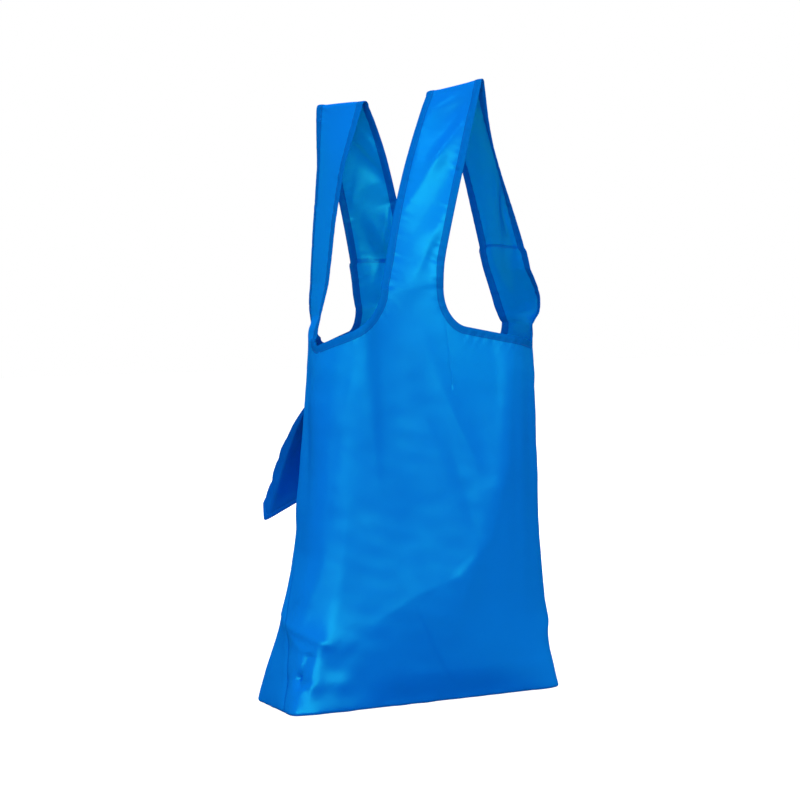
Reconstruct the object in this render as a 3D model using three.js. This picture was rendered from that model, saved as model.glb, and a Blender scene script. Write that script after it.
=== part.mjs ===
// Foldable shopping bag of thin woven cloth, standing open. Millimetres, +Z up, front towards -Y.
import * as THREE from 'three';

// Driving sizes.
const BASE_WIDTH = 378; // foot, left to right
const BASE_DEPTH = 120; // foot, front to back
const MOUTH_HEIGHT = 440; // lowest points of the rim
const MOUTH_WIDTH = 295; // body at the rim, left to right
const MOUTH_DEPTH = 116; // body at the rim, front to back
const LEAN = 16; // the body leans this far to +X at the rim
const STRAP_WIDTH = 72; // strap, tape to tape
const TAPE_WIDTH = 9; // folded edge tape
const CLOTH = 1.2; // stand-in thickness of the cloth
const TAPE = 1.8; // stand-in thickness of the tape
const GAP = 0.35; // clearance between sewn pieces
const LAP = 16; // overlap of the sewn strap ends
const FOOT_TUCK = 0.7; // extra room for the bottom, as the panels draw in above it
const STRAP_FOLD = 6; // bend radius where a strap turns over its top
const CORNER_SCOOP = 8; // reach of the small curve beside an end strap

// Strap roots round the rim, as a share of the rim from the left end by way of the front,
// with the height of each neck above the rim and how far it flares on both sides.
const LEFT_ROOT = { at: -0.031, neck: 16, flare: 0 };
const FRONT_ROOT = { at: 0.187, neck: 69, flare: 5 };
const RIGHT_ROOT = { at: 0.505, neck: 22, flare: 0 };
const BACK_ROOT = { at: 0.783, neck: 42, flare: 4 };
const SEAM_DRIFT = 30; // the side seams end this far round from the middle of the foot's short sides

// Cut edges beside the roots: share of the reach that curls, share of the neck's height that only slopes,
// and how many of the edge's steps the curl takes.
const MOUTH_CUT = { curl: 0.55, slope: 0.5, steps: 10, curlSteps: 7 };
const ARM_CUT = { curl: 0.22, slope: 0.4, steps: 14, curlSteps: 6 };
const CORNER_CUT = { curl: 1, slope: 0, steps: 4, curlSteps: 4 };

// Where each strap turns over: share of the way to its far root, height above the rim, turn and tilt of
// its width in degrees, and place of its lap. Then for each side how late it turns, its twist above the
// root in degrees, its bulge above the root, its sideways bow, and how far up it keeps the rim's bow.
const RIGHT_STRAP = {
  over: 0.391, rise: 316, turn: -49, tilt: 11.5, lap: 0.34,
  late: [0.8, 7], twist: [0, 17.5], kick: [3.7, 9], bow: [0.3, -4], hold: [0.4, 0.4],
};
const LEFT_STRAP = {
  over: 0.37, rise: 295, turn: -65, tilt: 1.2, lap: 0.24,
  late: [1.8, 1.64], twist: [12, -14.6], kick: [6, -0.8], bow: [-4.3, 0.65], hold: [0.2, 0.4],
};
const STRAP_SWAY = 1.35; // how late a strap leans over on its way up
const KICK_RISE = 0.24; // share of a strap's rise that its bulge takes
const TWIST_RISE = 0.75; // and that its twist takes
const FLARE_RISE = 0.2; // share of a strap's rise over which its neck's flare runs out
const CLOSER = 1.25; // how much closer the rows of a strap lie towards its first root

// Storage pouch behind the left end.
const POUCH_LENGTH = 152;
const POUCH_WIDTH = 99;
const POUCH_PUFF = 42; // how far its two layers stand apart at the mouth
const POUCH_HEIGHT = 362; // where it is sewn on
const POUCH_AT = 0.869; // the same share as for the strap roots
const POUCH_HEM = 10;
const POUCH_CLEAR = 0.8; // between its sewn end and the back panel
const POUCH_FLAT = 2.2; // half of its two layers where they are sewn down
const POUCH_SWING = [-0.125, 0.6, -0.785]; // the way it hangs
const POUCH_TURN = [0.61, -0.6, 0.51]; // the way its mouth runs

// Soft folds of the body: share round the bag and height of both ends, width and depth.
const FOLDS = [
  { a: [0.17, 425], b: [0.1, 320], wide: 16, deep: 2.5 },
  { a: [0.235, 395], b: [0.31, 255], wide: 20, deep: 4 },
  { a: [0.13, 280], b: [0.2, 180], wide: 14, deep: -3 },
  { a: [0.02, 105], b: [0.075, 45], wide: 12, deep: 5 },
  { a: [0.06, 30], b: [0.05, 70], wide: 9, deep: -6 },
  { a: [0.01, 20], b: [0.012, 90], wide: 14, deep: -6 },
  { a: [0.62, 400], b: [0.68, 200], wide: 24, deep: -4 },
  { a: [0.57, 330], b: [0.6, 120], wide: 20, deep: 4 },
];

// The front bellies out to a blunt crest, which comes down from the right and turns left near the foot.
const CREST = [[0.385, 470], [0.37, 300], [0.335, 195], [0.25, 148], [0.12, 92]];
const CREST_DEPTH = 8;
const CREST_ABOVE = 120; // how wide it falls off above and to the left
const CREST_BELOW = 80; // and below and to the right
const CREST_BLUNT = 6; // how blunt its line is
const CREST_LEFT = [0, 0.1]; // shares round the bag over which it rises at the left end
const CREST_RIGHT = [0.395, 0.445]; // and over which it dies out at the right end
const FOLD_FOOT = 60; // folds and crest die out over this height above the foot

const BLUE = 0x0a84da;
const DARK_BLUE = 0x0a6cc4;

const lerp = THREE.MathUtils.lerp;
const rad = THREE.MathUtils.degToRad;

// Plan of the body at a height: half sizes, squareness and lean, read from a few stations.
const widthAt = (share) => lerp(MOUTH_WIDTH, BASE_WIDTH, share) / 2;
const STATIONS = [
  { z: 0, half: widthAt(1), square: 12, lean: 0 },
  { z: 25, half: widthAt(0.92), square: 8, lean: 0 },
  { z: 50, half: widthAt(0.875), square: 5, lean: 0.02 },
  { z: 100, half: widthAt(0.778), square: 3, lean: 0.4 },
  { z: 175, half: widthAt(0.46), square: 3, lean: 0.73 },
  { z: 250, half: widthAt(0.333), square: 3, lean: 0.77 },
  { z: 345, half: widthAt(0.154), square: 3.1, lean: 0.88 },
  { z: 440, half: widthAt(0), square: 3.2, lean: 1 },
  { z: 560, half: widthAt(0), square: 3.2, lean: 1 },
];
const RIM_STATION = STATIONS.length - 2;
function smooth(key, z) {
  const last = STATIONS.length - 2;
  const height = (z * STATIONS[RIM_STATION].z) / MOUTH_HEIGHT;
  let i = 0;
  while (i < last && height > STATIONS[i + 1].z) i += 1;
  const t = (height - STATIONS[i].z) / (STATIONS[i + 1].z - STATIONS[i].z);
  const p0 = STATIONS[Math.max(i - 1, 0)];
  const p1 = STATIONS[i];
  const p2 = STATIONS[i + 1];
  const p3 = STATIONS[Math.min(i + 2, last + 1)];
  const run = p2.z - p1.z;
  const m1 = ((p2[key] - p0[key]) / Math.max(p2.z - p0.z, 1)) * run;
  const m2 = ((p3[key] - p1[key]) / Math.max(p3.z - p1.z, 1)) * run;
  const t2 = t * t;
  const t3 = t2 * t;
  const fromLow = (2 * t3 - 3 * t2 + 1) * p1[key] + (t3 - 2 * t2 + t) * m1;
  const fromHigh = (3 * t2 - 2 * t3) * p2[key] + (t3 - t2) * m2;
  return fromLow + fromHigh;
}

// Rounded plan curve at height z, walked from the left end by way of the front.
const plans = new Map();
function plan(z) {
  const key = z.toFixed(2);
  if (plans.has(key)) return plans.get(key);
  const half = smooth('half', z);
  const power = 2 / smooth('square', z);
  const deep = lerp(BASE_DEPTH, MOUTH_DEPTH, Math.min(z / MOUTH_HEIGHT, 1)) / 2;
  const middle = LEAN * smooth('lean', z);
  const steps = 360;
  const points = [];
  const run = [0];
  for (let i = 0; i <= steps; i += 1) {
    const angle = Math.PI + (i / steps) * 2 * Math.PI;
    const c = Math.cos(angle);
    const s = Math.sin(angle);
    const x = middle + half * Math.sign(c) * Math.abs(c) ** power;
    const y = deep * Math.sign(s) * Math.abs(s) ** power;
    points.push(new THREE.Vector2(x, y));
    if (i > 0) run.push(run[i - 1] + points[i].distanceTo(points[i - 1]));
  }
  const made = { points, run, length: run[steps] };
  plans.set(key, made);
  return made;
}
function planPoint(z, share) {
  const { points, run, length } = plan(z);
  const s = (share - Math.floor(share)) * length;
  let lo = 0;
  let hi = run.length - 1;
  while (hi - lo > 1) {
    const mid = (lo + hi) >> 1;
    if (run[mid] > s) hi = mid;
    else lo = mid;
  }
  return points[lo].clone().lerp(points[hi], (s - run[lo]) / (run[hi] - run[lo]));
}
const RIM = plan(MOUTH_HEIGHT).length;

// How far a place on the flat cloth lies from a line of two places, and on which side of it.
function offLine(at, a, b) {
  const from = new THREE.Vector2(a[0] * RIM, a[1]);
  const along = new THREE.Vector2(b[0] * RIM, b[1]).sub(from);
  const rel = at.clone().sub(from);
  const near = THREE.MathUtils.clamp(rel.dot(along) / along.lengthSq(), 0, 1);
  rel.addScaledVector(along, -near);
  return { gap: rel.length(), below: rel.cross(along) < 0 };
}
function crestHeight(at, share) {
  let best = { gap: Infinity };
  for (let i = 0; i + 1 < CREST.length; i += 1) {
    const off = offLine(at, CREST[i], CREST[i + 1]);
    if (off.gap < best.gap) best = off;
  }
  const fall = best.below ? CREST_BELOW : CREST_ABOVE;
  const fromLeft = THREE.MathUtils.smoothstep(share, ...CREST_LEFT);
  const toRight = 1 - THREE.MathUtils.smoothstep(share, ...CREST_RIGHT);
  return fromLeft * toRight * Math.exp(-((Math.hypot(best.gap, CREST_BLUNT) / fall) ** 1.4));
}
function foldDepth(share, z) {
  const at = new THREE.Vector2(share * RIM, z);
  let depth = CREST_DEPTH * crestHeight(at, share);
  for (const f of FOLDS) {
    const off = offLine(at, f.a, f.b).gap / f.wide;
    depth += f.deep * Math.exp(-off * off);
  }
  return depth * THREE.MathUtils.smoothstep(z, 0, FOLD_FOOT);
}

// Point of the body's cloth and its outward direction.
function body(share, z) {
  const step = 3 / RIM;
  const p = planPoint(z, share);
  const t = planPoint(z, share + step).sub(planPoint(z, share - step)).normalize();
  const n = new THREE.Vector3(t.y, -t.x, 0);
  const at = new THREE.Vector3(p.x, p.y, z);
  const unbroken = share - Math.floor(share + 0.25); // counted past the left end without a jump
  return { p: at.addScaledVector(n, foldDepth(unbroken, z)), n };
}

// A sheet is a list of points with directions and a list of four-sided faces.
function newSheet() {
  return { at: [], faces: [] };
}
function put(sheet, point) {
  return sheet.at.push(point) - 1;
}
function weave(sheet, rows) {
  for (let r = 0; r + 1 < rows.length; r += 1) {
    for (let c = 0; c + 1 < rows[r].length; c += 1) {
      sheet.faces.push([rows[r][c], rows[r][c + 1], rows[r + 1][c + 1], rows[r + 1][c]]);
    }
  }
}
function thicken(sheet, thick) {
  const count = sheet.at.length;
  const position = [];
  for (const side of [0.5, -0.5]) {
    for (const { p, n } of sheet.at) {
      position.push(...p.clone().addScaledVector(n, side * thick).toArray());
    }
  }
  const index = [];
  const rim = new Map();
  for (const f of sheet.faces) {
    index.push(f[0], f[1], f[2], f[0], f[2], f[3]);
    index.push(f[2] + count, f[1] + count, f[0] + count, f[3] + count, f[2] + count, f[0] + count);
    f.forEach((a, i) => {
      const b = f[(i + 1) % 4];
      if (!rim.delete(`${b} ${a}`)) rim.set(`${a} ${b}`, [a, b]);
    });
  }
  for (const [a, b] of rim.values()) index.push(b, a, a + count, b, a + count, b + count);
  const geometry = new THREE.BufferGeometry();
  geometry.setAttribute('position', new THREE.Float32BufferAttribute(position, 3));
  geometry.setIndex(index);
  geometry.computeVertexNormals();
  return geometry;
}

// Rim curve beside a strap: it curls down from the upright strap edge and then slopes to the rim.
// reach is the distance along the rim. Gives points of the cut edge, moved inwards by inset.
const cutOf = (root, side) => {
  if (root === LEFT_ROOT || root === RIGHT_ROOT) return CORNER_CUT;
  return side > 0 ? ARM_CUT : MOUTH_CUT;
};
function scoop(root, side, reach, inset) {
  const { curl, slope, steps, curlSteps } = cutOf(root, side);
  const edge = toSide(root, side) * RIM;
  const list = [];
  for (let i = 0; i <= steps; i += 1) {
    const angle = (Math.min(i / curlSteps, 1) * Math.PI) / 2;
    const straight = Math.max(i - curlSteps, 0) / Math.max(steps - curlSteps, 1);
    const out = lerp(curl * (1 - Math.cos(angle)), 1, straight);
    const high = (1 - slope) * (1 - Math.sin(angle)) + slope * (1 - out);
    const run = straight > 0 ? 1 : curl * Math.sin(angle);
    const fall = (1 - slope) * Math.cos(angle) + slope * run;
    const n = new THREE.Vector2(-side * root.neck * fall, -reach * run).normalize();
    const along = edge + side * reach * out + inset * n.x;
    list.push({ share: along / RIM, z: MOUTH_HEIGHT + root.neck * high + inset * n.y });
  }
  return list;
}
const toSide = (root, side) => root.at + (side * (STRAP_WIDTH / 2 + root.flare)) / RIM;
const leftSeam = toSide(LEFT_ROOT, -1) - CORNER_SCOOP / RIM;
const rightSeam = toSide(RIGHT_ROOT, -1) - CORNER_SCOOP / RIM;
const mouthReach = (from, to) => (toSide(to, -1) - toSide(from, 1)) * RIM - CORNER_SCOOP;
const seamReach = (from, seam) => (seam - toSide(from, 1)) * RIM;

const ACROSS = 4;
const BODY_ROWS = 18;
const UPRIGHT = 1.5; // how upright the columns of a panel end below its cut edge

// Top edge of one panel between its two seams, as points of the cut edge.
// Order: small scoop, end strap, mouth scoops, middle strap, scoop down to the other seam.
function topEdge(end, middle, seam, inset) {
  const across = (root) => {
    const half = (STRAP_WIDTH / 2 + root.flare - inset) / RIM;
    const list = [];
    for (let i = 1; i < ACROSS; i += 1) {
      list.push({ share: root.at + lerp(-half, half, i / ACROSS), z: MOUTH_HEIGHT + root.neck });
    }
    return list;
  };
  const first = scoop(end, -1, CORNER_SCOOP, inset).reverse();
  const second = scoop(end, 1, CORNER_SCOOP, inset);
  const third = scoop(middle, -1, mouthReach(end, middle), inset).reverse();
  const fourth = scoop(middle, 1, seamReach(middle, seam), inset);
  const parts = [first, across(end), second, third.slice(1), across(middle), fourth];
  return {
    list: parts.flat(),
    endStart: first.length - 1,
    middleStart: first.length + ACROSS - 1 + second.length + third.length - 2,
  };
}

// Stations of one strap, from its first root over the top to its second root.
function strap(first, second, spec) {
  const rootPoint = (root, off) => body(root.at + off / RIM, MOUTH_HEIGHT + root.neck).p;
  const half = STRAP_WIDTH / 2;
  const ends = [first, second].map((root, i) => {
    const sign = i === 0 ? 1 : -1;
    const a = rootPoint(root, -half * sign);
    const b = rootPoint(root, half * sign);
    const width = b.clone().sub(a);
    const middle = a.clone().add(b).multiplyScalar(0.5);
    const out = new THREE.Vector3(width.y * sign, -width.x * sign, 0).normalize();
    return { root, sign, middle, width, out, turn: Math.atan2(width.y, width.x) };
  });
  const [from, to] = ends;
  const over = rad(spec.turn);
  const top = from.middle.clone().lerp(to.middle, spec.over);
  top.z = MOUTH_HEIGHT + spec.rise - STRAP_FOLD;
  const across = new THREE.Vector3(-Math.sin(over), Math.cos(over), 0).multiplyScalar(STRAP_FOLD);
  const list = [];
  const add = (c, turn, tilt, rise, end) => {
    const level = Math.cos(tilt);
    const w = new THREE.Vector3(Math.cos(turn) * level, Math.sin(turn) * level, Math.sin(tilt));
    list.push({ c, w, rise, end });
  };
  const sideways = new THREE.Vector3(Math.cos(over), Math.sin(over), 0);
  const side = (end, rise) => {
    const i = end === to ? 1 : 0;
    const target = top.clone().addScaledVector(across, i === 0 ? -1 : 1);
    const c = end.middle.clone().lerp(target, rise ** STRAP_SWAY);
    c.z = lerp(end.middle.z, target.z, rise);
    c.addScaledVector(end.out, spec.kick[i] * Math.sin(Math.PI * Math.min(rise / KICK_RISE, 1) ** 0.8));
    c.addScaledVector(sideways, spec.bow[i] * Math.sin(Math.PI * rise));
    const rootTurn = over + Math.atan2(Math.sin(end.turn - over), Math.cos(end.turn - over));
    const twist = rad(spec.twist[i]) * Math.sin(Math.PI * Math.min(rise / TWIST_RISE, 1) ** 0.6);
    add(c, lerp(rootTurn, over, rise ** spec.late[i]) + twist, rad(spec.tilt) * rise ** 4, rise, end);
  };
  const NEAR = 13;
  for (let i = 0; i <= NEAR; i += 1) side(from, (i / NEAR) ** CLOSER);
  const ARC = 4;
  for (let i = 1; i < ARC; i += 1) {
    const angle = (i / ARC) * Math.PI;
    const c = top.clone().addScaledVector(across, -Math.cos(angle));
    c.z += STRAP_FOLD * Math.sin(angle);
    add(c, over, rad(spec.tilt), 1, from);
  }
  const lapTop = spec.lap + LAP / 2 / spec.rise;
  const lapLow = spec.lap - LAP / 2 / spec.rise;
  const FAR = 9;
  for (let i = 0; i <= FAR; i += 1) side(to, lerp(1, lapTop, i / FAR));
  const lapRow = list.length - 1;
  const LOW = 5;
  for (let i = 0; i <= LOW; i += 1) side(to, lerp(lapLow, 0, i / LOW));
  list.forEach((s, i) => {
    const before = list[Math.max(i - 1, 0)].c;
    const after = list[Math.min(i + 1, list.length - 1)].c;
    s.n = s.w.clone().cross(after.clone().sub(before)).normalize();
  });
  // Point across the strap at station i; near a root it takes on the bow of the body's cloth.
  const at = (i, off) => {
    const s = list[i];
    const near = body(s.end.root.at + (s.end.sign * off) / RIM, MOUTH_HEIGHT + s.end.root.neck);
    if (s.rise === 0) return near;
    const scale = s.end.width.length() / STRAP_WIDTH;
    const flat = s.end.middle.clone().addScaledVector(s.end.width, off / STRAP_WIDTH);
    const ease = Math.max(0, 1 - s.rise / spec.hold[s.end === to ? 1 : 0]) ** 2;
    const p = s.c.clone().addScaledVector(s.w, off * lerp(1, scale, ease));
    p.addScaledVector(near.p.clone().sub(flat), ease);
    return { p, n: s.n.clone().lerp(near.n, ease).normalize() };
  };
  const halfAt = (i) => half + list[i].end.root.flare * Math.max(0, 1 - list[i].rise / FLARE_RISE) ** 2;
  return { at, halfAt, count: list.length, lapRow };
}
const rightStrap = strap(FRONT_ROOT, RIGHT_ROOT, RIGHT_STRAP);
const leftStrap = strap(LEFT_ROOT, BACK_ROOT, LEFT_STRAP);

// A panel: the body between its seams, and its straps.
const footShares = [];
function panel(end, middle, seams, straps) {
  const sheet = newSheet();
  const inset = TAPE_WIDTH + GAP;
  const top = topEdge(end, middle, seams[1], inset);
  const last = top.list.length - 1;
  const clear = GAP / 2 / RIM;
  const foot = plan(0).length;
  const start = seams[0] < 0 ? SEAM_DRIFT / foot : 0.5 + SEAM_DRIFT / foot;
  const rows = [];
  for (let r = 0; r <= BODY_ROWS; r += 1) {
    rows.push(
      top.list.map(({ share, z }, c) => {
        const part = THREE.MathUtils.inverseLerp(seams[0], seams[1], share);
        const low = start + (THREE.MathUtils.clamp(part, 0, 1) + c / last) / 4;
        const rise = r / BODY_ROWS;
        const upright = 1 - (1 - rise) ** UPRIGHT;
        const edge = c === 0 ? clear : c === last ? -clear : 0;
        if (r === 0 && c < last) footShares.push(low);
        return put(sheet, body(lerp(low, share, upright) + edge, z * rise));
      }),
    );
  }
  weave(sheet, rows);
  for (const { strap: s, from, to, root, lift } of straps) {
    const firstColumn = root === end ? top.endStart : top.middleStart;
    const base = rows[BODY_ROWS].slice(firstColumn, firstColumn + ACROSS + 1);
    const step = to > from ? 1 : -1;
    const strip = [base];
    for (let i = from + step; i !== to + step; i += step) {
      const row = [];
      const half = s.halfAt(i) - inset;
      for (let c = 0; c <= ACROSS; c += 1) {
        const point = s.at(i, step * lerp(-half, half, c / ACROSS));
        const raise = THREE.MathUtils.smoothstep(step * (i - to), -3, -1) * lift;
        point.p.addScaledVector(point.n, raise);
        row.push(put(sheet, point));
      }
      strip.push(row);
    }
    weave(sheet, strip);
  }
  return thicken(sheet, CLOTH);
}
const lapLift = CLOTH + GAP;
const frontPanel = panel(LEFT_ROOT, FRONT_ROOT, [leftSeam, rightSeam], [
  { strap: leftStrap, from: 0, to: leftStrap.lapRow + 1, root: LEFT_ROOT, lift: lapLift },
  { strap: rightStrap, from: 0, to: rightStrap.lapRow + 1, root: FRONT_ROOT, lift: lapLift },
]);
const backPanel = panel(RIGHT_ROOT, BACK_ROOT, [rightSeam, leftSeam + 1], [
  { strap: rightStrap, from: rightStrap.count - 1, to: rightStrap.lapRow, root: RIGHT_ROOT, lift: 0 },
  { strap: leftStrap, from: leftStrap.count - 1, to: leftStrap.lapRow, root: BACK_ROOT, lift: 0 },
]);

// An edge tape: a closed band between the cut edge and a line one tape width inside it.
function tape(pieces) {
  const sheet = newSheet();
  const rows = [];
  for (const piece of pieces) {
    const rowList = piece.map((pair) => pair.map((point) => put(sheet, point)));
    rows.push(...rowList);
  }
  weave(sheet, [...rows, rows[0]]);
  return thicken(sheet, TAPE);
}
function scoopPairs(outer, inner) {
  return outer.map((o, i) => [body(o.share, o.z), body(inner[i].share, inner[i].z)]);
}
function rimPairs(from, to, wrap) {
  const shift = (list) => list.map(({ share, z }) => ({ share: share + wrap, z }));
  const far = { ...to, at: to.at + wrap };
  const bigFirst = from === FRONT_ROOT || from === BACK_ROOT;
  const room = (toSide(far, -1) - toSide(from, 1)) * RIM;
  const firstReach = bigFirst ? room - CORNER_SCOOP : CORNER_SCOOP;
  const line = (inset) => {
    const down = scoop(from, 1, firstReach, inset);
    const up = shift(scoop(to, -1, room - firstReach, inset)).reverse();
    return [...down, ...up.slice(1)];
  };
  return scoopPairs(line(0), line(TAPE_WIDTH));
}
function strapPairs(s, side, forward) {
  const list = [];
  for (let i = 1; i + 1 < s.count; i += 1) {
    const half = s.halfAt(i);
    list.push([s.at(i, side * half), s.at(i, side * (half - TAPE_WIDTH))]);
  }
  return forward ? list : list.reverse();
}
const mouthTape = tape([
  rimPairs(LEFT_ROOT, FRONT_ROOT, 0),
  strapPairs(rightStrap, -1, true),
  rimPairs(RIGHT_ROOT, BACK_ROOT, 0),
  strapPairs(leftStrap, 1, false),
]);
const rightTape = tape([rimPairs(FRONT_ROOT, RIGHT_ROOT, 0), strapPairs(rightStrap, 1, false)]);
const leftTape = tape([rimPairs(BACK_ROOT, LEFT_ROOT, 1), strapPairs(leftStrap, -1, true)]);

// Bottom: a flat piece that fills the foot inside the panels.
function basePanel() {
  const shape = new THREE.Shape();
  footShares.forEach((share, i) => {
    const { p, n } = body(share, 0);
    p.addScaledVector(n, -CLOTH / 2 - GAP - FOOT_TUCK);
    if (i === 0) shape.moveTo(p.x, p.y);
    else shape.lineTo(p.x, p.y);
  });
  return new THREE.ExtrudeGeometry(shape, { depth: CLOTH, bevelEnabled: false });
}

// Pouch: a flat pocket that hangs off the back. Its upper end is sewn shut along the back panel,
// its lower end swings out and turns.
function pouchRing(along, swell) {
  const out = new THREE.Vector3(...POUCH_SWING).normalize();
  const wide = new THREE.Vector3(...POUCH_TURN).normalize();
  const thick = new THREE.Vector3().crossVectors(wide, out).normalize();
  const middle = body(POUCH_AT, POUCH_HEIGHT).p.addScaledVector(out, along * POUCH_LENGTH);
  const free = THREE.MathUtils.smoothstep(along, 0, 1);
  const ring = [];
  const steps = 20;
  for (let i = 0; i < steps; i += 1) {
    const angle = (i / steps) * 2 * Math.PI;
    const c = Math.cos(angle);
    const s = Math.sin(angle);
    const x = (POUCH_WIDTH / 2) * Math.sign(c) * Math.abs(c) ** 0.36;
    const y = swell * Math.sign(s) * Math.abs(s) ** 0.45;
    const sewn = body(POUCH_AT - x / RIM, POUCH_HEIGHT);
    sewn.p.addScaledVector(sewn.n, CLOTH + POUCH_CLEAR + swell + y);
    sewn.p.addScaledVector(out, along * POUCH_LENGTH);
    const p = middle.clone().addScaledVector(wide, x).addScaledVector(thick, y);
    const flat = wide.clone().multiplyScalar(c / POUCH_WIDTH).addScaledVector(thick, s / (2 * swell));
    const n = sewn.n.clone().multiplyScalar(s).addScaledVector(wide, c * 0.3).normalize();
    ring.push({ p: sewn.p.lerp(p, free), n: n.lerp(flat.normalize(), free).normalize() });
  }
  return ring;
}
function sleeve(from, to, rows, thick, closed) {
  const sheet = newSheet();
  const rings = [];
  for (let r = 0; r <= rows; r += 1) {
    const along = lerp(from, to, r / rows);
    const swell = lerp(POUCH_FLAT, POUCH_PUFF / 2, along);
    const ring = pouchRing(along, swell).map((point) => put(sheet, point));
    rings.push([...ring, ring[0]]);
  }
  weave(sheet, rings.reverse());
  if (closed) {
    const end = rings[rings.length - 1];
    const half = (end.length - 1) / 2;
    for (let i = 0; i < half; i += 1) {
      const a = end[i];
      const b = end[i + 1];
      const c = end[2 * half - i - 1];
      const d = end[2 * half - i];
      sheet.faces.push([a, b, c, d]);
    }
  }
  return thicken(sheet, thick);
}

const bag = new THREE.Group();
bag.name = 'foldable_shopping_bag';
function addPiece(name, geometry, color, roughness) {
  const material = new THREE.MeshStandardMaterial({ color, roughness, metalness: 0 });
  const mesh = new THREE.Mesh(geometry, material);
  mesh.name = name;
  bag.add(mesh);
}
addPiece('front_panel', frontPanel, BLUE, 0.45);
addPiece('back_panel', backPanel, BLUE, 0.45);
addPiece('base_panel', basePanel(), BLUE, 0.45);
addPiece('mouth_binding', mouthTape, DARK_BLUE, 0.5);
addPiece('right_armhole_binding', rightTape, DARK_BLUE, 0.5);
addPiece('left_armhole_binding', leftTape, DARK_BLUE, 0.5);
addPiece('pouch', sleeve(0, 1 - POUCH_HEM / POUCH_LENGTH, 7, CLOTH, true), DARK_BLUE, 0.5);
addPiece('pouch_hem', sleeve(1 - (POUCH_HEM - GAP) / POUCH_LENGTH, 1, 1, TAPE, false), DARK_BLUE, 0.5);

export default bag;
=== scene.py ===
import math

import bpy
import numpy as np
from bpy.props import FloatProperty, FloatVectorProperty, PointerProperty
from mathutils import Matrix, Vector


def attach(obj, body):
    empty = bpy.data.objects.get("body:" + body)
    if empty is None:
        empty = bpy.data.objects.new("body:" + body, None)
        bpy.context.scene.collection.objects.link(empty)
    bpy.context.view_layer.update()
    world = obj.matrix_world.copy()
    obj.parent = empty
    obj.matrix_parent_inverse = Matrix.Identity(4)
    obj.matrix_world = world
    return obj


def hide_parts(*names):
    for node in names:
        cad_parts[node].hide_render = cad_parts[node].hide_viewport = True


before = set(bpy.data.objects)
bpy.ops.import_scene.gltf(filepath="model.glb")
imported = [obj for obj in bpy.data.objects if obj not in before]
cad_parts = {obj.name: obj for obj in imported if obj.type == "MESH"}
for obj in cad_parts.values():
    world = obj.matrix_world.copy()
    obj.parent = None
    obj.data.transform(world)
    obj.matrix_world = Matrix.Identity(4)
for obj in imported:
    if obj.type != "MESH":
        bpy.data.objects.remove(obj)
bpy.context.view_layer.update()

bl_info = {
    "name": "Foldable Shopping Bag",
    "version": (1, 0, 0),
    "blender": (4, 5, 0),
    "location": "View3D > Sidebar > Bag",
    "description": "Sews a foldable shopping bag of thin taffeta round its solid model",
    "category": "Object",
}

MM = 1000  # the shape is worked out in millimetres and made in metres


def linear(code):
    """An sRGB hex colour as the linear values that shaders and lamps take."""
    parts = [int(code[i : i + 2], 16) / 255 for i in (0, 2, 4)]
    return tuple(p / 12.92 if p <= 0.04045 else ((p + 0.055) / 1.055) ** 2.4 for p in parts)


def length(name, text, default):
    """A length that a user may change, in metres."""
    return FloatProperty(name=name, description=text, default=default, min=0, unit="LENGTH")


def angle(name, text, degrees):
    """An angle that a user may change."""
    turn = math.radians(degrees)
    return FloatProperty(name=name, description=text, default=turn, subtype="ANGLE")


def watts(name, text, default):
    """A lamp's power that a user may change."""
    return FloatProperty(name=name, description=text, default=default, unit="POWER")


def colour(name, text, code):
    """A colour that a user may change."""
    return FloatVectorProperty(
        name=name, description=text, default=linear(code), size=3, min=0, max=1, subtype="COLOR"
    )


class BagSizes(bpy.types.PropertyGroup):
    """Sizes of the sewn bag."""

    foot_width: length("Foot width", "Left to right at the floor", 0.378)
    foot_depth: length("Foot depth", "Front to back at the floor", 0.120)
    rim_height: length("Rim height", "Lowest points of the rim above the floor", 0.440)
    rim_width: length("Rim width", "Left to right at the rim", 0.295)
    rim_depth: length("Rim depth", "Front to back at the rim", 0.116)
    lean: length("Lean", "How far the body leans to the right at the rim", 0.016)
    strap_width: length("Strap width", "Strap from tape edge to tape edge", 0.072)
    corner_scoop: length("Corner scoop", "Reach of the small curve beside an end strap", 0.008)
    strap_fold: length("Strap fold", "Bend radius at the top of a strap", 0.006)
    lap: length("Lap", "Overlap of the sewn strap ends", 0.0065)
    seam_drift: length("Seam drift", "Side seams end this far round the foot", 0.030)
    cloth: length("Cloth thickness", "Taffeta, drawn a little thicker than it is", 0.00036)
    stitch_pitch: length("Stitch pitch", "From stitch to stitch", 0.0032)
    pouch_length: length("Pouch length", "Storage pouch from its sewn end to its mouth", 0.152)
    pouch_width: length("Pouch width", "Storage pouch across", 0.099)
    pouch_puff: length("Pouch puff", "How far the pouch's layers stand apart at its mouth", 0.042)
    pouch_height: length("Pouch height", "Where the pouch is sewn on", 0.362)
    pouch_hem: length("Pouch hem", "Hem round the pouch's mouth", 0.010)


class BagColours(bpy.types.PropertyGroup):
    """Colours of the dyed cloth and thread, and the pouch's darker colour, which is painted shade.
    """

    cloth: colour("Cloth", "Taffeta of the panels", "0064E2")
    cloth_deep: colour("Cloth, thin places", "Taffeta where the dye lies deeper", "0062DF")
    # Painted shade: the pouch's colour is darker than the cloth's to stand in for the shade on its
    # underside.
    pouch: colour("Pouch", "Taffeta of the pouch, its coated side out", "0047AE")
    tape: colour("Tape", "Doubled taffeta of the edge tape", "0058B2")
    through: colour("Light through the cloth", "Taffeta with the light behind it", "00CCC6")
    thread: colour("Thread", "Polyester sewing thread", "0068C0")


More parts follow.
